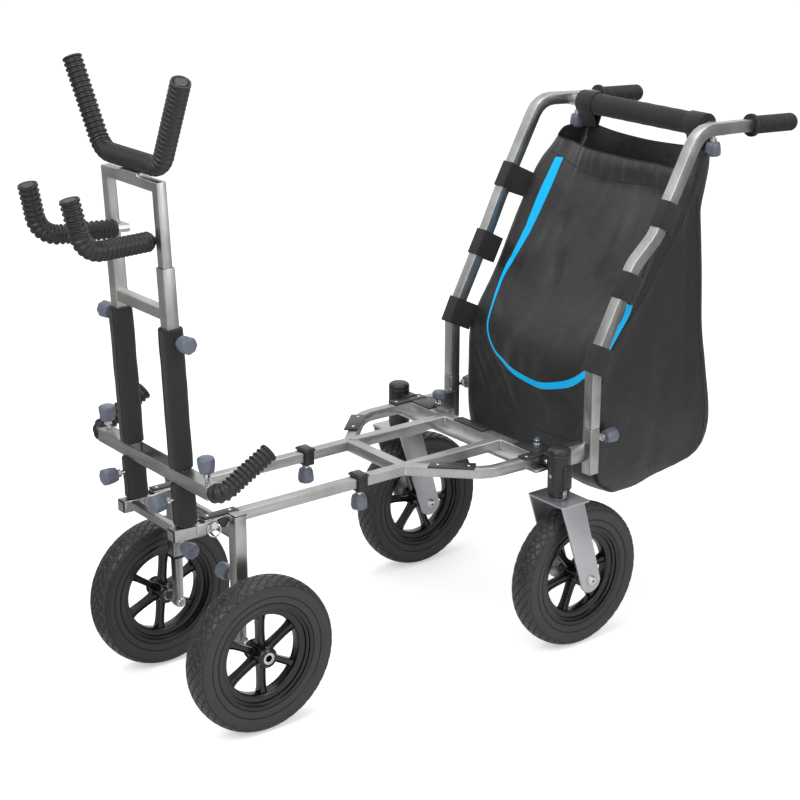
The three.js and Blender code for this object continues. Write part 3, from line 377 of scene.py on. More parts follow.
def lathed(outline, steps):
    bm = bmesh.new()
    points = [bm.verts.new((radius, 0, along)) for radius, along in outline]
    for first, second in zip(points, points[1:]):
        bm.edges.new((first, second))
    bmesh.ops.spin(bm, geom=bm.verts[:] + bm.edges[:], cent=(0, 0, 0), axis=(0, 0, 1), dvec=(0, 0, 0),
                   angle=2 * math.pi, steps=steps, use_merge=True, use_duplicate=False)
    bmesh.ops.remove_doubles(bm, verts=bm.verts, dist=0.001)
    bmesh.ops.recalc_face_normals(bm, faces=bm.faces)
    return bm


# A closed outline, whose second half mirrors its first on the wheel's other face.
def both_faces(half):
    return half + [(radius, -along) for radius, along in reversed(half)] + half[:1]


# Tread rubber: near black, matt, a little dusty, with a fine moulded grain.
tread_rubber = grained("tread_rubber", ("#1e1e1e", "#2c2c2c"), (30, 3), (1, 2), (0.34, 0.46), 0.05,
                       {"Specular IOR Level": 0.55})

# Rim plastic: black polypropylene moulded in a polished tool, so it shines.
rim_plastic = grained("glossy_polypropylene", ("#0b0b0b", "#141414"), (14, 3), (14, 3), (0.14, 0.26), 0.12)

# Zinc plate: turned and cold headed steel, plated bright, so it mirrors the room a little blurred.
zinc = grained("bright_zinc_plate", ("#c2c2c1", "#dadad8"), (4, 3), (4, 3), (0.12, 0.22), 0.006, {"Metallic": 1.0})

tyre_shape = lathed(both_faces(tyre_half), tyre_steps)
pitch = 2 * math.pi * wheel_radius / tread_pitches
for vert in tyre_shape.verts:
    radius = math.hypot(vert.co.x, vert.co.y)
    if radius < tread_low:
        continue
    turn = math.atan2(vert.co.y, vert.co.x) / (2 * math.pi) * tread_pitches
    reach = vert.co.z / tread_half_width
    nearest = min(abs((turn + slope * reach) % 1 - 0.5) for slope in (tread_slope, -tread_slope)) * pitch
    depth = tread_depth * min(1, max(0, 1.5 * (1 - nearest / tread_groove)))
    vert.co.x *= (radius - depth) / radius
    vert.co.y *= (radius - depth) / radius
bmesh.ops.rotate(tyre_shape, cent=(0, 0, 0), matrix=Matrix.Rotation(math.pi / 2, 3, "Y"), verts=tyre_shape.verts)

rim_half = [
    (104, 22), (98.5, 22), (97, 21.2), (96.2, 18), (91.5, 16.4), (90, 13), (84.5, 12.4), (81, 11.8), (79.4, 10.6),
    (78.2, 8.5),
]
hub_half = [
    (6.5, 27), (11.6, 27), (12, 30), (13, 30.4), (14.4, 29), (18.4, 27.4), (19.6, 25.6), (19.6, 22), (17.4, 20),
]


# A spoke runs from the hub to the rim, widens at both ends, and has a hollow pressed in each side.
def spoke_shape():
    inner, outer, widening = 14, 81, 0.3
    bm = block((-8, -6, inner), (8, 6, outer))
    bmesh.ops.subdivide_edges(bm, edges=upright_edges(bm), cuts=4)
    for vert in bm.verts:
        off_middle = 2 * (vert.co.z - inner) / (outer - inner) - 1
        vert.co.y *= 1 + widening * abs(off_middle) ** 3
        vert.co.x *= 1 + widening * off_middle ** 4
    flanks = [f for f in bm.faces if abs(f.normal.x) > 0.9]
    for way in (1, -1):
        bmesh.ops.inset_region(bm, faces=[f for f in flanks if f.is_valid and f.normal.x * way > 0], thickness=2.6,
                               depth=-4.5)
    return bevelled(bm, outer_edges(bm), 0.9, clamp=True)


spokes = [placed(spoke_shape(), Matrix.Rotation(2 * math.pi * i / 6, 4, "X")) for i in range(6)]
quarter = Matrix.Rotation(math.pi / 2, 4, "Y")
rim_shape = gathered([
    *(placed(lathed(both_faces(half), steps), quarter) for half, steps in ((rim_half, 96), (hub_half, 48))), *spokes])
bearing_outline = [(6.4, 28), (6.8, 28.8), (8, 28.8), (8.3, 28), (9.8, 28), (10.2, 29.4), (11.4, 29.4), (11.6, 28.6),
                   (11.6, 27), (6.4, 27), (6.4, 28)]
bearing_shape = placed(lathed(bearing_outline, 40), quarter)
bearing_shape = gathered([mirrored(bearing_shape), bearing_shape])

for wheel, x, y, turn in [
    ("front_left", front_x, -axle_y, 0), ("front_right", -front_x, -axle_y, -6), ("rear_left", caster_x, axle_y, -21),
    ("rear_right", -caster_x, axle_y, 20),
]:
    body = wheel.replace("_", "_wheel_")
    spun = shift((x, y, wheel_radius)) @ Matrix.Rotation(math.radians(turn), 4, "X")
    new_piece(f"tread_tyre_{wheel}", placed(tyre_shape.copy(), spun), tread_rubber, body, [f"tyre_{wheel}"])
    new_piece(f"spoked_rim_{wheel}", placed(rim_shape.copy(), spun), rim_plastic, body,
              [f"rim_{wheel}"])
    new_piece(f"bearing_{wheel}", placed(bearing_shape.copy(), spun), zinc, body)
for shape in (tyre_shape, rim_shape, bearing_shape):
    shape.free()


# Front legs: 20 mm square tube that slides in a socket welded to the rail, with its foot pressed narrow round the
# axle bolt and a slot in its front, whose dark inside is painted shade: a thin strip of black plastic on the face.
# A thin black cap under a steel plate closes the socket, and a plastic collar of four walls guides the leg at its
# lower end.
leg_x = 111
leg_foot = 11.5
foot_solid = 16
stub_end = 188
collar_low, collar_high = 243, 247.4

# Cap plastic: black polyethylene, moulded with a fine grain and half matt.
cap_plastic = grained("black_polyethylene", ("#121212", "#1d1d1d"), (12, 3), (1, 2), (0.34, 0.48), 0.04)

for side, s in sides:
    leg = rounded_copy(f"front_leg_{side}", tube_edge)
    for vert in leg.verts:
        foot = Vector((vert.co.y + axle_y, vert.co.z - wheel_radius))
        if foot.length < foot_solid + 1 and abs(vert.co.x) < leg_x + 14:
            foot *= leg_foot / foot_solid
            vert.co.y, vert.co.z = foot.x - axle_y, foot.y + wheel_radius
        if abs(vert.co.x) > stub_end + 7:
            vert.co.x = math.copysign(stub_end, vert.co.x)
    new_piece(f"front_leg_tube_{side}", leg, upright_steel, f"front_leg_{side}", [f"front_leg_{side}"])


def round_leg(low, high, edge, segments=2):
    middle = Vector((leg_x, -axle_y, 0))
    return soft_block(middle + Vector(low), middle + Vector(high), edge, segments)


bolt_outline = [(0, -1.5), (3.4, -1.5), (4.2, 3), (5.4, 4.4), (7.2, 4.4), (8, 3.4), (8, 0.8), (9.6, 0.6),
                (9.6, -0.4), (0, -0.4)]
inward = shift((leg_x - 9.9, -axle_y, wheel_radius)) @ Matrix.Rotation(-math.pi / 2, 4, "Y")
new_pair("leg_bolt_*", placed(lathed(bolt_outline, 32), inward), zinc, "front_leg_*")
# The slot's dark inside is painted shade: a thin strip of black cap plastic laid flat on the leg's front face.
slot_shade_strip = round_leg((-2.4, -9.93, 196), (2.4, -9.2, 236), 0.1, 1)
new_pair("leg_slot_*", slot_shade_strip, cap_plastic, "front_leg_*")
cap = round_leg((-13, -13, deck_top + 0.1), (13, 13, deck_top + 1.3), 0.5)
walls = [((-13, -13), (13, -10.4)), ((-13, 10.4), (13, 13)), ((-13, -10.4), (-10.4, 10.4)), ((10.4, -10.4), (13, 10.4))]
collar = [round_leg((*low, collar_low), (*high, collar_high), 0.6) for low, high in walls]
new_pair("socket_cap_*", gathered([cap, *collar]), cap_plastic, "frame")
lid = round_leg((-12.2, -12.2, deck_top + 1.4), (12.2, 12.2, deck_top + 2.6), 0.5)
new_pair("socket_lid_*", lid, crosswise_steel, "frame")

# Rod rests: 16 mm rod in ribbed soft plastic hose, 36 mm across its ribs, pushed on from the tips. They and the foam
# are drawn upright from the mast's foot, and then lean with the mast, by an angle in radians.
mast_lean = 0.042
mast_place = shift((0, -443.5, 397.3)) @ Matrix.Rotation(mast_lean, 4, "X")
hose_radius = 18
hose_pitch = 9.4
rib_profile = [
    (0.0, 0.85), (0.26, 0.84), (0.36, 0.87), (0.44, 0.955), (0.52, 0.995), (0.66, 1.0), (0.78, 0.975), (0.88, 0.9),
    (0.94, 0.86),
]


# The points of a route along straight runs whose corners are rounded by a bend.
def bent_route(corners, bend, spacing=2.0):
    points = [Vector(corner) for corner in corners]
    knots = [points[0]]
    for before, point, after in zip(points, points[1:], points[2:]):
        come = (point - before).normalized()
        go = (after - point).normalized()
        turn = come.angle(go)
        centre = point + (go - come).normalized() * (bend / math.cos(turn / 2))
        arm = point - come * (bend * math.tan(turn / 2)) - centre
        steps = max(4, math.ceil(math.degrees(turn) / 4))
        for step in range(steps + 1):
            knots.append(centre + Matrix.Rotation(turn * step / steps, 3, come.cross(go)) @ arm)
    knots.append(points[-1])
    route = []
    for first, second in zip(knots, knots[1:]):
        count = max(1, math.ceil((second - first).length / spacing))
        route += [first.lerp(second, i / count) for i in range(count)]
    return route + [knots[-1]]


# Places a section at a point of a route: its Z runs along the route, and its X keeps to a given side.
def station(route, along, across):
    lengths = [(second - first).length for first, second in zip(route, route[1:])]
    run = 0
    while run < len(lengths) - 1 and along > lengths[run]:
        along -= lengths[run]
        run += 1
    spot = route[run].lerp(route[run + 1], min(1, along / lengths[run]))
    before = (route[run + 1] - route[run]).normalized()
    after = (route[min(run + 2, len(route) - 1)] - route[run + 1]).normalized() if run + 2 < len(route) else before
    tangent = before.lerp(after, min(1, along / lengths[run]) / 2).normalized()
    side = (across - tangent * across.dot(tangent)).normalized()
    turned = Matrix((side, tangent.cross(side), tangent)).transposed().to_4x4()
    return shift(spot) @ turned


def length_of(route):
    return sum((second - first).length for first, second in zip(route, route[1:]))


# Draws a circle out through a list of stations, and gives the mesh and its two end rims.
def drawn_out(radius, steps, stations):
    bm = bmesh.new()
    bmesh.ops.create_circle(bm, segments=steps, radius=radius, cap_ends=False)
    placed(bm, stations[0])
    first_rim = edges = bm.edges[:]
    for before, after in zip(stations, stations[1:]):
        grown = bmesh.ops.extrude_edge_only(bm, edges=edges)["geom"]
        corners = {v for v in grown if isinstance(v, bmesh.types.BMVert)}
        bmesh.ops.transform(bm, matrix=after @ before.inverted(), verts=list(corners))
        edges = [e for e in grown if isinstance(e, bmesh.types.BMEdge) and set(e.verts) <= corners]
    return bm, (first_rim, edges)


def ribbed_hose(route, across, tip_at_start=False):
    length = length_of(route)
    ribs = max(2, round(length / hose_pitch))
    stations = []
    for rib in range(ribs):
        for share, width in rib_profile:
            widths = Matrix.Diagonal((width, width, 1, 1))
            stations.append(station(route, length * (rib + share) / ribs, across) @ widths)
    stations = stations[3:] if tip_at_start else stations
    stations.append(station(route, length, across) @ Matrix.Diagonal((0.96, 0.96, 1, 1)))
    bm, rims = drawn_out(hose_radius, 24, stations)
    for rim in rims:
        face = bmesh.ops.contextual_create(bm, geom=rim)["faces"][0]
        for thickness, depth in ((2.2, 0), (2.6, -2.5), (1.6, 2.2)):
            bmesh.ops.inset_region(bm, faces=[face], thickness=thickness, depth=depth)
    bmesh.ops.recalc_face_normals(bm, faces=bm.faces)
    return bm


# Hose plastic: black soft vinyl with a half gloss along the ribs.
hose_plastic = grained("ribbed_soft_vinyl", ("#171717", "#242424"), (5, 3), (5, 3), (0.34, 0.48), 0.06)

rest_base = 654
top_route = bent_route([(-184, 0, rest_base + 156), (-98.5, 0, rest_base), (98.5, 0, rest_base),
                        (184, 0, rest_base + 156)], 45)
new_piece("top_rest_ribs", placed(ribbed_hose(top_route, Vector((0, 1, 0)), True), mast_place), hose_plastic,
          "inner_mast", ["top_rest_hose"])
hook_corners = [(58.4, -9.65, 522), (79, -147, 530), (74, -162, 625)]
hook_across = Vector((1, 0.15, 0))
hook_shape = placed(ribbed_hose(bent_route(hook_corners, 45), hook_across), mast_place)
arm_corners = [(193.3, 0, 97), (215.3, 0, 97), (215.3, 104, 151)]
arm_shape = placed(ribbed_hose(bent_route(arm_corners, 20), Vector((0, -0.46, 0.89))), mast_place)
new_pair("hook_ribs_*", hook_shape, hose_plastic, "inner_mast", "hook_hose_*")
new_pair("rest_arm_ribs_*", arm_shape, hose_plastic, "rest_arm_*", "rest_arm_hose_*")

# Rods inside the hoses: their pale cut ends show in the hose tips.
for node, body in (("top_rest_rod", "inner_mast"), ("rest_arm_rod_left", "rest_arm_left"),
                   ("rest_arm_rod_right", "rest_arm_right")):
    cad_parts[node].data.materials.clear()
    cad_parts[node].data.materials.append(zinc)


# Foam: black closed-cell foam sleeves, pushed over the mast posts and the cross handle.
sleeve_half = 20
foam_corner = 14
slit_x, slit_half = 80, 1.2
slit_depth = 3.4


def pores(tree, place):
    return add_node(tree, "ShaderNodeTexVoronoi", {"Vector": place, "Scale": per_size(1.3)}).outputs["Distance"]


foam = grained("closed_cell_foam", ("#232323", "#303030"), (25, 3), pores, 0.88, 0.25,
               {"Specular IOR Level": 0.3, "Sheen Weight": 0.12, "Sheen Roughness": 0.5})


def scored(bm, place, across):
    bmesh.ops.bisect_plane(bm, geom=bm.verts[:] + bm.edges[:] + bm.faces[:], plane_co=place, plane_no=across)


def foam_sleeve(start, top):
    bm = block((post_x - sleeve_half, -sleeve_half, start), (post_x + sleeve_half, sleeve_half, top))
    bevelled(bm, upright_edges(bm), foam_corner, 6)
    for slit_edge in (slit_x - slit_half, slit_x + slit_half):
        scored(bm, (slit_edge, 0, 0), (1, 0, 0))
    front = [f for f in bm.faces if f.normal.y < -0.9 and abs(f.calc_center_median().x - slit_x) < 1]
    bmesh.ops.inset_region(bm, faces=front, thickness=0.01, depth=-slit_depth)
    ends = [e for e in bm.edges if all(abs(f.normal.z) < 0.5 or abs(f.normal.z) > 0.9 for f in e.link_faces)
            and any(abs(f.normal.z) > 0.9 for f in e.link_faces)]
    bevelled(bm, ends, 3, 4)
    rows = max(4, round((top - start) / 8))
    for row in range(1, rows):
        scored(bm, (0, 0, start + (top - start) * row / rows), (0, 0, 1))
    for vert in bm.verts:
        swell = 0.9 * noise.noise(Vector((vert.co.x, vert.co.y, vert.co.z)) / 30)
        outward = Vector((vert.co.x - post_x, vert.co.y, 0)).normalized()
        vert.co += outward * (swell - 0.4)
    return placed(bm, mast_place)


for level, start, top in (("lower", 3, 82), ("upper", 112, 372)):
    for sleeve in new_pair(f"{level}_foam_*", foam_sleeve(start, top), foam, "mast", f"{level}_sleeve_*"):
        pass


# Clamping knobs: grey-blue moulded grips with eight flats, on a zinc-plated stud with a nut.
knob_plastic = grained("grey_blue_nylon", ("#535966", "#6b7382"), (9, 3), (1.1, 2), (0.26, 0.36), 0.04,
                       {"Specular IOR Level": 0.6})
knob_grip = [(0, 0), (12.4, 0), (13.6, 1.4), (15.4, 9), (16.5, 20), (16.4, 25.4), (14.2, 28.4), (11, 29.4), (0, 29.6)]


def eight_sided(outline):
    grip = lathed(outline, 8)
    return bevelled(grip, sharp_edges(grip, 20), 0.8, 1)


def add_knob(node, body, spot, direction, stud):
    placing = shift(spot) @ Vector(direction).to_track_quat("Z", "Y").to_matrix().to_4x4()
    grip = eight_sided([(radius, along + stud) for radius, along in knob_grip])
    metal = lathed([(0, 0.2), (3.6, 0.2), (4, 0.8), (4, stud - 6), (4, stud - 7.5), (7.6, stud - 7.5),
                    (7.6, stud - 6.4), (6.8, stud - 6.2), (6.8, stud + 0.4), (0, stud + 0.4)], 24)
    new_piece(f"{node}_grip", placed(grip, placing), knob_plastic, body, [node], crease=20)
    new_piece(f"{node}_stud", placed(metal, placing), zinc, body)


mast_turn = Matrix.Rotation(mast_lean, 3, "X")
for side, s in sides:
    for node, spot, direction, stud in (
        ("leg_knob", (s * 98.45, -axle_y, 273), (-s, 0, 0), 21),
        ("lower_mast_knob", (s * post_x, -458.24, 452.73), mast_turn @ Vector((0, -1, 0)), 26),
        ("upper_mast_knob", (s * 98.9, -458.322, 749.989), (s, 0, 0), 23),
        ("rest_arm_knob", (s * 174, -448.131, 507.503), mast_turn @ Vector((0, 0, 1)), 18),
        ("rail_clamp_knob", (s * rail_x, -60.5, 373.7), (0, 0, -1), 9),
        ("handle_knob", (s * 221, 431.55, 406), (0, 1, 0), 24),
        ("cross_handle_knob", (s * 201, 748, 983.2), (0, 0, -1), 16),
    ):
        add_knob(f"{node}_{side}", f"{node}_{side}", spot, direction, stud)


# Black mouldings: the rail clamps with their lids, the front pads with two screws each, the caps on the mast's
# pivot bolts, and the plugs in the ends of the mast's foot, behind a steel face. Each lock pin has a round head and a
# ring that hangs from it.
black_nylon = grained("black_nylon_moulding", ("#191919", "#252525"), (18, 3), (0.9, 2), (0.3, 0.42), 0.05)
pad_front = -338
cheek_x, pivot_z = 102.85, 391.75
pivot_y, pin_y = -376.5, -397.5
for side, s in sides:
    clamp = rounded_copy(f"rail_clamp_{side}", 1.5)
    new_piece(f"rail_clamp_block_{side}", clamp, black_nylon, f"rail_clamp_{side}",
              [f"rail_clamp_{side}"])
    pad = rounded_copy(f"front_pad_{side}", 0.8)
    for vert in pad.verts:
        vert.co.y = min(vert.co.y, pad_front)
    new_piece(f"front_rail_pad_{side}", pad, black_nylon, "frame", [f"front_pad_{side}"])

clamp_lid = soft_block((rail_x - 17, -74, deck_top + 1.2), (rail_x + 17, -47, deck_top + 5.2), 1.4, 3)
new_pair("rail_clamp_lid_*", clamp_lid, black_nylon, "rail_clamp_*")
screw_outline = [(0, -0.6), (3.2, -0.6), (3.4, 0.2), (2.2, 0.9), (0, 1.1)]
screws = [placed(lathed(screw_outline, 20), shift((rail_x, y, deck_top + 3.4))) for y in (-400, -352)]
new_pair("pad_screws_*", gathered(screws), zinc, "frame")
outward = Matrix.Rotation(math.pi / 2, 4, "Y")
cap_outline = [(0, -2), (4, -2), (4, 0), (8.6, 0), (9.8, 1), (10, 3.4), (8.4, 5.6), (4.4, 6.3), (4, 5.6), (0, 5.4)]
cap = placed(lathed(cap_outline, 32), shift((cheek_x, pivot_y, pivot_z)) @ outward)
new_pair("pivot_cap_*", cap, black_nylon, "frame", "mast_pivot_bolt_*")
pin = lathed([(0, -3.2), (4, -3.2), (4, 0), (6.4, 0), (7, 0.8), (7, 7.6), (5.8, 9), (0, 9)], 32)
placed(pin, shift((cheek_x, pin_y, pivot_z)) @ outward)
ring = lathed([(12, 1.4), (13, 1), (13.4, 0), (13, -1), (12, -1.4), (11, -1), (10.6, 0), (11, 1), (12, 1.4)], 48)
tilted = Matrix.Rotation(math.radians(72), 4, "Y") @ Matrix.Rotation(math.radians(18), 4, "X")
placed(ring, shift((cheek_x + 5.65, pin_y, pivot_z - 8.75)) @ tilted)
new_pair("lock_pin_head_*", gathered([pin, ring]), zinc, "mast_lock_pin_*", "mast_lock_pin_*")
plug = soft_block((rail_x - 11.2, -477, 374.2), (rail_x + 11.2, -474.6, 396.6), 0.9)
new_pair("mast_foot_plug_*", plug, cap_plastic, "mast_foot")
face = soft_block((rail_x - 9, -477.8, 376.4), (rail_x + 9, -477.1, 394.4), 0.3, 1)
new_pair("mast_foot_face_*", face, crosswise_steel, "mast_foot")


# Deck pads: stiff black strips screwed to the outer tubes and diagonals, which keep a box from scratching them. A
# corner plate at each rear corner carries a nut on a stud, and on the right a small knob as well.
deck_pads = gathered([
    flat_plate(points, deck_top + 0.1, deck_top + height) for points, height in (
        ([(120, 90), (137, 68), (201, 133), (178, 157)], 3.4),
        ([(196, 247), (223, 247), (223, 330), (196, 330)], 3.4),
        ([(136, 287), (196, 287), (196, 338), (152, 338), (136, 318)], 2.6))])
new_pair("deck_pads_*", deck_pads, black_nylon, "frame")
small_knob = [(0, 0), (11, 0), (14, 2.5), (15.4, 12), (13.8, 16), (9, 17.5), (0, 17.5)]
nut_outline = [(0, 0), (9, 0), (9, 1.6), (6.6, 2), (6.6, 9), (4, 9.6), (4, 14), (0, 14)]
for side, corner in (("left", (167, 323, deck_top + 2.5)), ("right", (147, 325, deck_top + 2.5))):
    metal = gathered([
        placed(lathed(screw_outline, 20), shift((x, y, deck_top + 3.4)))
        for x, y in ((139, 93), (181, 136), (209.5, 258), (209.5, 318))
    ] + [placed(lathed(nut_outline, 24), shift(corner))])
    metal = metal if side == "left" else mirrored(metal)
    new_piece(f"deck_screws_{side}", metal, zinc, "frame")
grip = placed(eight_sided(small_knob), shift(Vector(corner) + Vector((0, 0, 11))))
new_piece("corner_knob", mirrored(grip), knob_plastic, "frame", crease=20)
rear_pad = flat_plate([(-50, 285), (42, 285), (42, 309), (-50, 309)], deck_top + 0.1, deck_top + 3)
new_piece("rear_cross_pad", rear_pad, black_nylon, "frame")


# Casters: a moulded swivel housing on the outer tube, a pressed zinc-plated fork and a through bolt.
housing_outline = [
    (0, 328), (19.5, 328), (20.6, 329), (21.6, 336), (22.5, 338), (22.5, 414), (21.8, 415), (21.8, 416.6),
    (22.5, 417.6), (22.4, 421), (21, 424.4), (18, 426.8), (13.5, 428), (0, 428),
]
swivel_y = 302
fork_foot = 26
fork_opening = 0.11
fork_top = 324.5


def caster_housing():
    pot = placed(lathed(housing_outline, 48), shift((caster_x, swivel_y, 0)))
    boss = soft_block((13, -11, -25), (26.5, 11, 25), 4.5, 4)
    placed(boss, shift((caster_x, swivel_y, 370)) @ Matrix.Rotation(math.radians(5), 4, "Z"))
    bracket = soft_block((216.6, 291, 383), (240, 320, 407), 1.5)
    return gathered([pot, boss, bracket])


# Stands a plate upright, so that its outline lies in Y and Z and its thickness in X.
upright = Matrix(((0, 0, 1, 0), (1, 0, 0, 0), (0, 1, 0, 0), (0, 0, 0, 1)))


def caster_fork():
    plate = block((caster_x - 51.5, 267, fork_top - 3.5), (caster_x + 51.5, 339, fork_top + 0.5))
    bevelled(plate, upright_edges(plate), 4, 4)
    bevelled(plate, sharp_edges(plate), 0.8)
    arc = [math.pi + fork_opening + (math.pi - 2 * fork_opening) * i / 24 for i in range(25)]
    outline = [(axle_y + fork_foot * math.cos(t), wheel_radius + fork_foot * math.sin(t)) for t in arc]
    outline = [(267, fork_top), *outline, (325, fork_top)]
    legs = [placed(flat_plate(outline, x, x + 4), upright) for x in (caster_x + 46, caster_x - 50)]
    collar = placed(lathed([(0, 324), (16.5, 324), (16.5, 325.6), (14.8, 326), (14.8, 327.7), (0, 327.7)], 32),
                    shift((caster_x, swivel_y, 0)))
    return gathered([plate, *legs, collar])


def rear_axle():
    half = [(0, 30.3), (10, 30.3), (10, 45.7), (6, 45.7), (6, 50.3), (10.8, 50.3), (10.8, 51.4), (10, 52),
            (9.6, 54.6), (7.6, 56.4), (3, 57), (2.4, 53), (0, 53)]
    out = placed(lathed(half, 32), quarter)
    return placed(gathered([mirrored(out), out]), shift((caster_x, axle_y, wheel_radius)))


# Two screws on the housing's front and the spring clip below the boss.
def caster_hardware():
    forward = Matrix.Rotation(math.pi / 2, 4, "X")
    screw = placed(lathed([(0, -1), (3.6, -1), (3.6, 0.6), (2.4, 1.4), (0, 1.6)], 20),
                   shift((caster_x, 279.4, 373)) @ forward)
    clip = soft_block((278.2, 293, 329.5), (280.6, 303, 345), 0.7)
    bolt = placed(lathed([(0, -1), (4.2, -1), (4.2, 1.6), (3, 2.6), (0, 2.8)], 20),
                  shift((231, 290.8, 394)) @ forward)
    return gathered([screw, clip, bolt])


# Fork plate: steel sheet, pressed and then zinc plated, which leaves it pale and almost matt.
plated_sheet = grained("matt_zinc_sheet", ("#aeaeb3", "#c0c0c5"), (35, 2), (35, 2), (0.3, 0.37), 0.05,
                       {"Metallic": 0.8})

new_pair("swivel_housing_*", caster_housing(), black_nylon, "frame", "caster_housing_*")
new_pair("fork_plates_*", caster_fork(), plated_sheet, "caster_*", "caster_fork_*")
new_pair("swivel_hardware_*", caster_hardware(), zinc, "frame")
new_pair("axle_bolt_*", rear_axle(), zinc, "caster_*", "rear_axle_bolt_*")


# Push grips: moulded rubber sleeves with an end flange and close ribs, on the bent tube ends.
grip_rubber = grained("moulded_grip_rubber", ("#1a1a1a", "#262626"), (14, 3), (0.9, 2), (0.5, 0.66), 0.06)
grip_outline = [(11.6, 0.4), (22.6, 0.4), (23.4, 1.4), (23.4, 6.6), (22.4, 8), (18, 8.6)]
for start in (12 + 7.4 * rib for rib in range(15)):
    grip_outline += [(16.6, start), (16.6, start + 1.6), (18.3, start + 2.6), (18.5, start + 4), (18.3, start + 5.6)]
grip_outline += [(17.2, 124.5), (14.6, 128), (10, 129), (0, 129)]
grip_tilt = Vector((0, 129, -6.5)).to_track_quat("Z", "X").to_matrix().to_4x4()
grip_shape = placed(lathed(grip_outline, 36), shift((225, 827, 995)) @ grip_tilt)
new_pair("ribbed_grip_*", grip_shape, grip_rubber, "handle", "hand_grip_*", crease=40)

# Cross handle foam: a round foam tube pushed over the bar that joins the handles.
foam_half, foam_radius = 184, 23
foam_outline = [(12.9, -foam_half), (21.8, -foam_half), (foam_radius, 1.4 - foam_half)]
foam_outline += [(foam_radius + 0.25 * math.sin(i * 1.7), -180 + 12 * i) for i in range(31)]
foam_outline += [(foam_radius, foam_half - 1.4), (21.8, foam_half), (12.9, foam_half)]
bar_place = Vector((0, 748, 996))
grip_foam = placed(lathed(foam_outline, 48), shift(bar_place) @ quarter)
new_piece("cross_handle_sleeve", grip_foam, foam, "handle", ["cross_handle_foam"])


# Bag: coated black nylon sewn into a tall wedge that sags a little below the deck. Its front panel leans back with the
# handles, and the open mouth is hemmed.
bag_rows = [
    (255, 523, 566, 178), (258, 514, 589, 185), (261, 508, 600, 188), (266, 500, 615, 191), (272, 491, 632, 193),
    (279, 480, 668, 196), (284, 473, 704, 197), (292, 464, 741, 199), (302, 457, 760, 200), (318, 452, 775, 201),
    (343, 447, 786, 201), (387, 443, 788, 202), (456, 443, 776, 202), (520, 446, 767, 202), (560, 453, 760, 202),
    (584, 464, 757, 202), (612, 488, 753, 203), (645, 511, 749, 204), (673, 530, 746, 206), (756, 572, 735, 209),
    (842, 615, 727, 208), (885, 643, 726, 206), (925, 668, 722, 200),
]
bag_front_corner = 11
bag_rear_corner = 20
bag_wall = 2.5
bag_mouth = 925
mouth_rise = 25
row_smoothing = 18
bag_steps = 264
creases = [
    ((-192, 566), (-48, 396), 11, 6.0), ((-196, 520), (-112, 380), 8, 5.0), ((-120, 500), (-20, 372), 9, 3.0),
    ((-60, 800), (-5, 610), 20, 4.0), ((60, 860), (-70, 540), 26, 4.5), ((-170, 640), (-110, 575), 8, 2.5),
    ((150, 700), (70, 520), 24, 4.0), ((196, 470), (120, 380), 10, 3.0), ((-182, 700), (-150, 668), 6, 2.0),
    ((-176, 760), (-140, 735), 6, 2.0),
]

# Nylon: a plain weave coated inside, so it is near black with a soft sheen and small crumples. A wave texture's
# bands lie 0.314 of its size apart, so the weave is drawn 1.4 mm apart, coarser than real thread, so that it shows.
weave_size = 4.5
nylon, tree = new_material("coated_nylon")
place = add_node(tree, "ShaderNodeTexCoord", {}).outputs["Object"]
warp, weft = [
    add_node(tree, "ShaderNodeTexWave", {"Vector": place, "Scale": per_size(weave_size), "Distortion": 0.4},
             wave_type="BANDS", bands_direction=direction).outputs["Fac"]
    for direction in ("X", "Z")]
weave = add_node(tree, "ShaderNodeMath", {0: warp, 1: weft}, operation="MULTIPLY").outputs[0]
folds, tone = [
    add_node(tree, "ShaderNodeTexNoise", {
        "Vector": place, "Scale": per_size(size), "Detail": detail, "Roughness": noise_falloff}).outputs["Fac"]
    for size, detail in ((26, 3), (60, 4))]
crumple = add_node(tree, "ShaderNodeBump", {"Height": folds, "Distance": 1.6 * millimetre, "Strength": 1.0})
raised = add_node(tree, "ShaderNodeBump", {
    "Height": weave, "Distance": 0.04 * millimetre, "Strength": 1.0, "Normal": crumple.outputs["Normal"]})
color = add_node(tree, "ShaderNodeMix", {0: tone, 6: srgb("#101010"), 7: srgb("#1a1a1b")}, data_type="RGBA")
roughness = add_node(tree, "ShaderNodeMapRange", {
    "Value": tone, "From Min": 0.3, "From Max": 0.7, "To Min": 0.4, "To Max": 0.5})
close_material(tree, {
    "Base Color": color.outputs[2],
    "Roughness": roughness.outputs["Result"],
    "Specular IOR Level": 0.62,
    "Sheen Weight": 0.12,
    "Sheen Roughness": 0.4,
    "Normal": raised.outputs["Normal"]})


def eased(low, high, value):
    share = max(0, min(1, (value - low) / (high - low)))
    return share * share * (3 - 2 * share)


def straight_row(z):
    for first, second in zip(bag_rows, bag_rows[1:]):
        if z <= second[0]:
            share = (z - first[0]) / (second[0] - first[0])
            return [a + (b - a) * share for a, b in zip(first[1:], second[1:])]
    return list(bag_rows[-1][1:])


# The front, the rear and the half width at a height, with the bends of the list above smoothed.
def bag_row(z):
    reach = row_smoothing * eased(300, 420, z) * (1 - eased(870, bag_mouth, z))
    rows = [straight_row(z + step * reach) for step in (-2, -1, 0, 1, 2)]
    return [sum(values) / 5 for values in zip(*rows)]


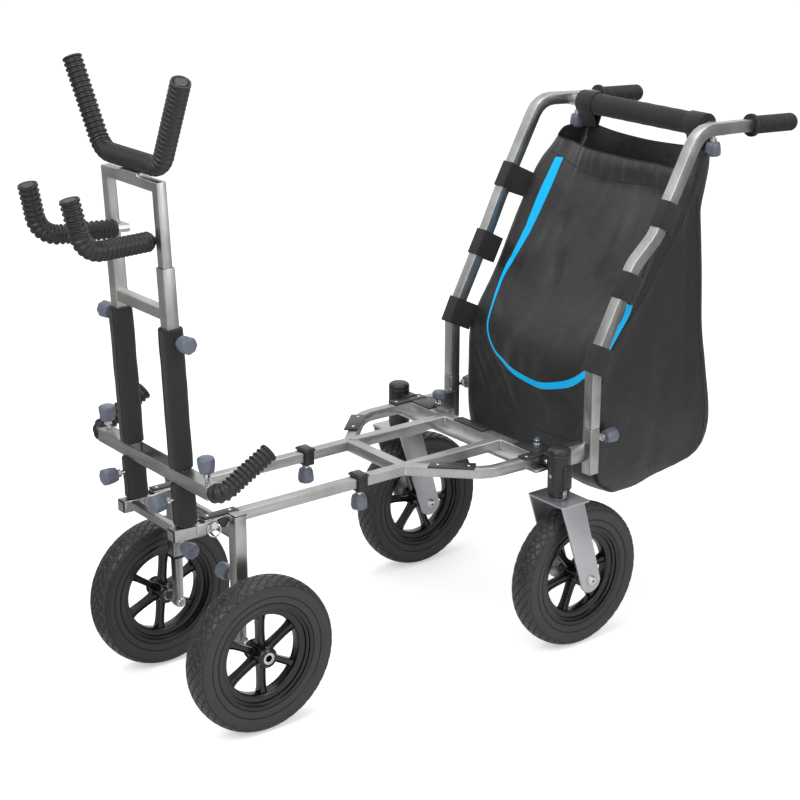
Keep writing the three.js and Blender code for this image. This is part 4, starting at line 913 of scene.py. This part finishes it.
# How far the front panel stands back at a place: the mouth's bow, the creases and the loose folds.
def front_relief(x, z):
    bow = eased(860, bag_mouth, z) * (-0.12 * x - 26 * (1 - (x / 192) ** 2))
    folds = 13 * noise.noise(Vector((x / 90, z / 150, 3.1))) + 4 * noise.noise(Vector((x / 36, z / 75, 9.4)))
    folds += 3.4 * noise.noise(Vector((x / 15, z / 95, 5.2))) * eased(835, 885, z)
    for (x0, z0), (x1, z1), width, depth in creases:
        run = Vector((x1 - x0, z1 - z0))
        share = max(0, min(1, (Vector((x - x0, z - z0)) @ run) / run.length_squared))
        away = (Vector((x0, z0)) + run * share - Vector((x, z))).length
        folds += depth * math.exp(-(away / width) ** 2) * (1 - abs(2 * share - 1) ** 3)
    return bow + folds * (1 - 0.6 * eased(170, 200, abs(x)))


def side_relief(x, y, z):
    seed = 20 if x > 0 else 40
    folds = 5 * noise.noise(Vector((y / 90, z / 190, seed))) + 1.5 * noise.noise(Vector((y / 36, z / 90, seed + 5)))
    lean = (y - 560 - (z - 690) * 0.66) / 26
    folds += 5 * math.exp(-lean * lean) * eased(420, 560, z)
    rear = (y - 700 + (z - 560) * 0.08) / 16
    return folds - 3 * math.exp(-rear * rear) * eased(400, 500, z)


def rear_relief(x, z):
    bow = eased(820, bag_mouth, z) * (0.0012 * x * x - 0.05 * x)
    return bow + 5 * noise.noise(Vector((x / 100, z / 160, 60.5)))


# The mouth's hem rises towards the rear.
def hem_lift(y, z, y0, y1):
    return mouth_rise * eased(850, bag_mouth, z) * (y - y0) / (y1 - y0)


# A point of the bag's outline, by its share of the way round from the middle of the front, and its outward side.
def bag_outline(share, z):
    y0, y1, half = bag_row(z)
    depth = y1 - y0
    front, rear = min(bag_front_corner, depth / 3), min(bag_rear_corner, depth / 3)
    side = 1 if share <= 0.5 else -1
    runs = [half - front, front * math.pi / 2, depth - front - rear, rear * math.pi / 2, half - rear]
    way = min(share, 1 - share) * 2 * sum(runs)
    run = 0
    while run < 4 and way > runs[run]:
        way -= runs[run]
        run += 1
    turn = way / (front if run == 1 else rear)
    x, y, out = [
        (way, y0, (0, -1)),
        (half - front + front * math.sin(turn), y0 + front - front * math.cos(turn), (math.sin(turn), -math.cos(turn))),
        (half, y0 + front + way, (1, 0)),
        (half - rear + rear * math.cos(turn), y1 - rear + rear * math.sin(turn), (math.cos(turn), math.sin(turn))),
        (half - rear - way, y1, (0, 1)),
    ][run]
    x *= side
    lift = hem_lift(y, z, y0, y1)
    ahead, behind = max(0, -out[1]), max(0, out[1])
    y += ahead * front_relief(x, z) + behind * rear_relief(x, z)
    y += (1 - ahead - behind) * (1 - (y - y0) / depth) * front_relief(x, z) * eased(860, bag_mouth, z)
    x += side * abs(out[0]) * side_relief(x, y, z) * eased(259, 330, z)
    return Vector((x, y, z + lift)), Vector((side * out[0], out[1], 0))


def bag_shell():
    heights = []
    for first, second in zip(bag_rows, bag_rows[1:]):
        count = max(1, round((second[0] - first[0]) / 5))
        heights += [first[0] + (second[0] - first[0]) * i / count for i in range(count)]
    rows = [(z, 0) for z in heights + [bag_mouth]]
    rows += [(bag_mouth - 1, bag_wall), (bag_mouth - 25, bag_wall + 2), (bag_mouth - 65, bag_wall + 8)]
    bm = bmesh.new()
    rims = []
    for z, inset in rows:
        made = bmesh.ops.create_circle(bm, segments=bag_steps, radius=1, cap_ends=False)["verts"]
        for vert in made:
            share = (math.atan2(vert.co.y, vert.co.x) / (2 * math.pi)) % 1
            spot, out = bag_outline(share, z)
            vert.co = spot - out * inset
        edges = {e for v in made for e in v.link_edges}
        if rims:
            bmesh.ops.bridge_loops(bm, edges=list(rims[-1] | edges))
        rims.append(edges)
    bmesh.ops.contextual_create(bm, geom=list(rims[0]))
    bmesh.ops.contextual_create(bm, geom=list(rims[-1]))
    bmesh.ops.recalc_face_normals(bm, faces=bm.faces)
    return bm


new_piece("nylon_bag", bag_shell(), nylon, "handle", ["bag"], crease=50)


# Sewn lines: rows of black thread and the turned edges under them.
thread = grained("black_polyester_thread", ("#0d0d0d", "#181818"), (1.4, 2), (1.4, 2), 0.75, 0.3)


def sewn_line(points, radius):
    route = [Vector(point) for point in points]
    length = length_of(route)
    across = Vector((0.31, 0.93, 0.21))
    count = max(2, round(length / 8))
    stations = [station(route, length * i / count, across) for i in range(count + 1)]
    bm, rims = drawn_out(radius, 8, stations)
    for rim in rims:
        bmesh.ops.contextual_create(bm, geom=rim)
    bmesh.ops.recalc_face_normals(bm, faces=bm.faces)
    return bm


def on_front(x, z, proud):
    y0, _, half = bag_row(z)
    past = max(0, abs(x) - (half - bag_front_corner))
    back = bag_front_corner - math.sqrt(max(0, bag_front_corner ** 2 - past ** 2))
    return Vector((x, y0 + back + front_relief(x, z) - proud, z))


def on_side(side, y, z, proud):
    y0, y1, half = bag_row(z)
    x = side * half
    return Vector((x + side * (side_relief(x, y, z) * eased(259, 330, z) + proud), y, z + hem_lift(y, z, y0, y1)))


def smooth_run(points, count):
    route = []
    for i in range(len(points) - 1):
        before, a, b, after = (points[max(0, min(len(points) - 1, i + j))] for j in (-1, 0, 1, 2))
        for step in range(count):
            t = step / count
            route.append([
                0.5 * (2 * q + (r - p) * t + (2 * p - 5 * q + 4 * r - s) * t * t + (3 * q - p - 3 * r + s) * t ** 3)
                for p, q, r, s in zip(before, a, b, after)])
    return route + [list(points[-1])]


hem = smooth_run([(-191, 897), (-146, 892), (-16, 877), (100, 879), (189, 886)], 14)
foot_seam = smooth_run([(-191, 432), (-131, 402), (-88, 382), (-20, 371), (60, 368), (140, 376), (196, 398)], 12)
lines = [sewn_line([on_front(x, z, -0.1) for x, z in run], 0.9) for run in (hem, foot_seam)]
for side in (1, -1):
    seam = smooth_run([(703, 905), (680, 856), (573, 690), (509, 616), (470, 545), (456, 505)], 10)
    lines.append(sewn_line([on_side(side, y, z, -0.1) for y, z in seam], 0.9))
    rear_seam = [(bag_row(z)[1] - 24, z) for z in range(320, 880, 20)]
    lines.append(sewn_line([on_side(side, y, z, -0.2) for y, z in rear_seam], 0.9))
lips = [bag_outline(step / 180, bag_mouth)[0] for step in range(181)]
lines.append(sewn_line(lips, 1.3))
new_piece("bag_seams", gathered(lines), thread, "handle")

# Blue band: shiny binding tape, sewn flat round the front pocket and seen edge on where the panel turns.
band_runs = [
    (-151.5, 891, 23), (-148, 862, 23), (-149, 828, 24), (-151, 795, 23), (-156, 733, 16), (-165, 674, 11),
    (-164, 634, 7), (-153, 594, 4.5), (-147, 554, 4), (-133, 525, 4.5), (-107, 503, 5.5), (-85, 492, 7.5),
    (-57, 481, 10), (-25.5, 473.5, 12), (37, 471.5, 13.5), (98, 485, 15), (136, 502, 15), (170, 528, 13),
    (194, 556, 12), (205, 585, 12), (208, 620, 12), (206, 655, 11), (196, 690, 9), (187, 740, 9), (187, 795, 9),
    (195, 862, 9), (198, 884, 8),
]
blue_tape = grained("blue_binding_tape", ("#00b4fa", "#08c4ff"), (3, 2), (3, 2), (0.4, 0.52), 0.05,
                    {"Specular IOR Level": 0.25})


# The point of the bag's skin at a way round it from the middle of its front.
def on_outline(way, z, proud):
    y0, y1, half = bag_row(z)
    corners = (2 - math.pi / 2) * (bag_front_corner + bag_rear_corner)
    share = abs(way) / (4 * half + 2 * (y1 - y0) - 2 * corners)
    spot, out = bag_outline(share if way > 0 else 1 - share, z)
    return spot + out * proud


def binding_tape():
    runs = smooth_run(band_runs, 8)
    bm = bmesh.new()
    bmesh.ops.create_grid(bm, x_segments=len(runs) - 1, y_segments=5, size=0.5)
    for vert in bm.verts:
        place = (vert.co.x + 0.5) * (len(runs) - 1)
        index = max(0, min(len(runs) - 1, round(place)))
        x, z, width = runs[index]
        before, after = runs[max(0, index - 1)], runs[min(len(runs) - 1, index + 1)]
        aside = Vector((after[1] - before[1], before[0] - after[0])).normalized() * (vert.co.y * width)
        vert.co = on_outline(x + aside.x, z + aside.y, 0.5)
    bmesh.ops.recalc_face_normals(bm, faces=bm.faces)
    if sum(f.normal.y for f in bm.faces) > 0:
        bmesh.ops.reverse_faces(bm, faces=bm.faces)
    bmesh.ops.solidify(bm, geom=bm.faces[:], thickness=0.9)
    bmesh.ops.recalc_face_normals(bm, faces=bm.faces)
    return bm


new_piece("blue_pocket_band", binding_tape(), blue_tape, "handle", crease=50)

# Straps: hook-and-loop webbing, sewn to the bag's sides and its back, and closed round the handles and their foam.
strap_heights = [575, 711, 845]
strap_width, hanger_width = 56, 46
strap_wall = 2.6
strap_room = 0.6
tube_half = 12.1
handle_route = bent_route([(221, 419, 432), (221, 419, 564), (221, 518, 752), (236, 559, 806), (236, 667, 1003)], 55)

webbing = grained("loop_faced_webbing", ("#151515", "#202020"), (16, 3), (1.2, 3), 0.82, 0.25,
                  {"Sheen Weight": 0.15, "Sheen Roughness": 0.5})


# A closed strap whose outline is drawn square to its length, then rounded, hollowed and drawn out.
def strap_ring(outline, rounding, width):
    bm = bmesh.new()
    corners = [bm.verts.new((x, y, -width / 2)) for x, y in outline]
    bm.faces.new(corners)
    bmesh.ops.bevel(bm, geom=bm.verts[:], offset=rounding, segments=5, profile=0.5, affect="VERTICES", material=-1)
    hole = bm.faces[:]
    bmesh.ops.inset_region(bm, faces=hole, thickness=strap_wall, depth=0, use_boundary=True, use_even_offset=True)
    bmesh.ops.delete(bm, geom=[f for f in hole if f.is_valid], context="FACES")
    thickened(bm, (0, 0, width))
    return bevelled(bm, sharp_edges(bm, 60), 0.6)


loops = []
for height in strap_heights:
    knot = min(range(len(handle_route)), key=lambda i: abs(handle_route[i].z - height))
    spot = station(handle_route, length_of(handle_route[:knot + 1]), Vector((1, 0, 0)))
    sewn = bag_row(height)[2] - handle_route[knot].x
    outer = tube_half + strap_wall + strap_room
    outline = [(-outer, -outer), (outer, -outer), (outer, outer + 11), (sewn + 6, outer + 27), (sewn - 1.5, outer + 27),
               (-outer, outer - 8)]
    loops.append(placed(strap_ring(outline, 3, strap_width), spot))
new_pair("side_straps_*", gathered(loops), webbing, "handle")

hang_reach = foam_radius + strap_wall + 0.5
turns = [math.radians(-150 + 300 * i / 14) for i in range(15)]
drop = [(-4, -50), *[(hang_reach * math.sin(t), hang_reach * math.cos(t)) for t in turns], (2, -50)]
along_bar = Matrix.Rotation(math.pi / 2, 4, "Z") @ Matrix.Rotation(math.pi / 2, 4, "X")
hanger = placed(strap_ring(drop, 1.0, hanger_width), shift(bar_place + Vector((160, 0, 0))) @ along_bar)
new_piece("mouth_straps", gathered([mirrored(hanger), hanger]), webbing, "handle")

# Welds: low beads of melted steel where tubes meet, left as they came from the torch.
weld_spots = [(78.4, 39.5), (99.6, 44), (78.4, 284), (99.6, 284), (208, 406.5)]
weld_low, weld_high = 384, 400.5
beads = []
for side in (1, -1):
    for x, y in weld_spots:
        run = [(side * x + 0.5 * math.sin(z * 1.7), y, z) for z in range(weld_low, round(weld_high) + 1, 2)]
        beads.append(sewn_line(run, 1.9))
new_piece("weld_beads", gathered(beads), zinc, "frame")
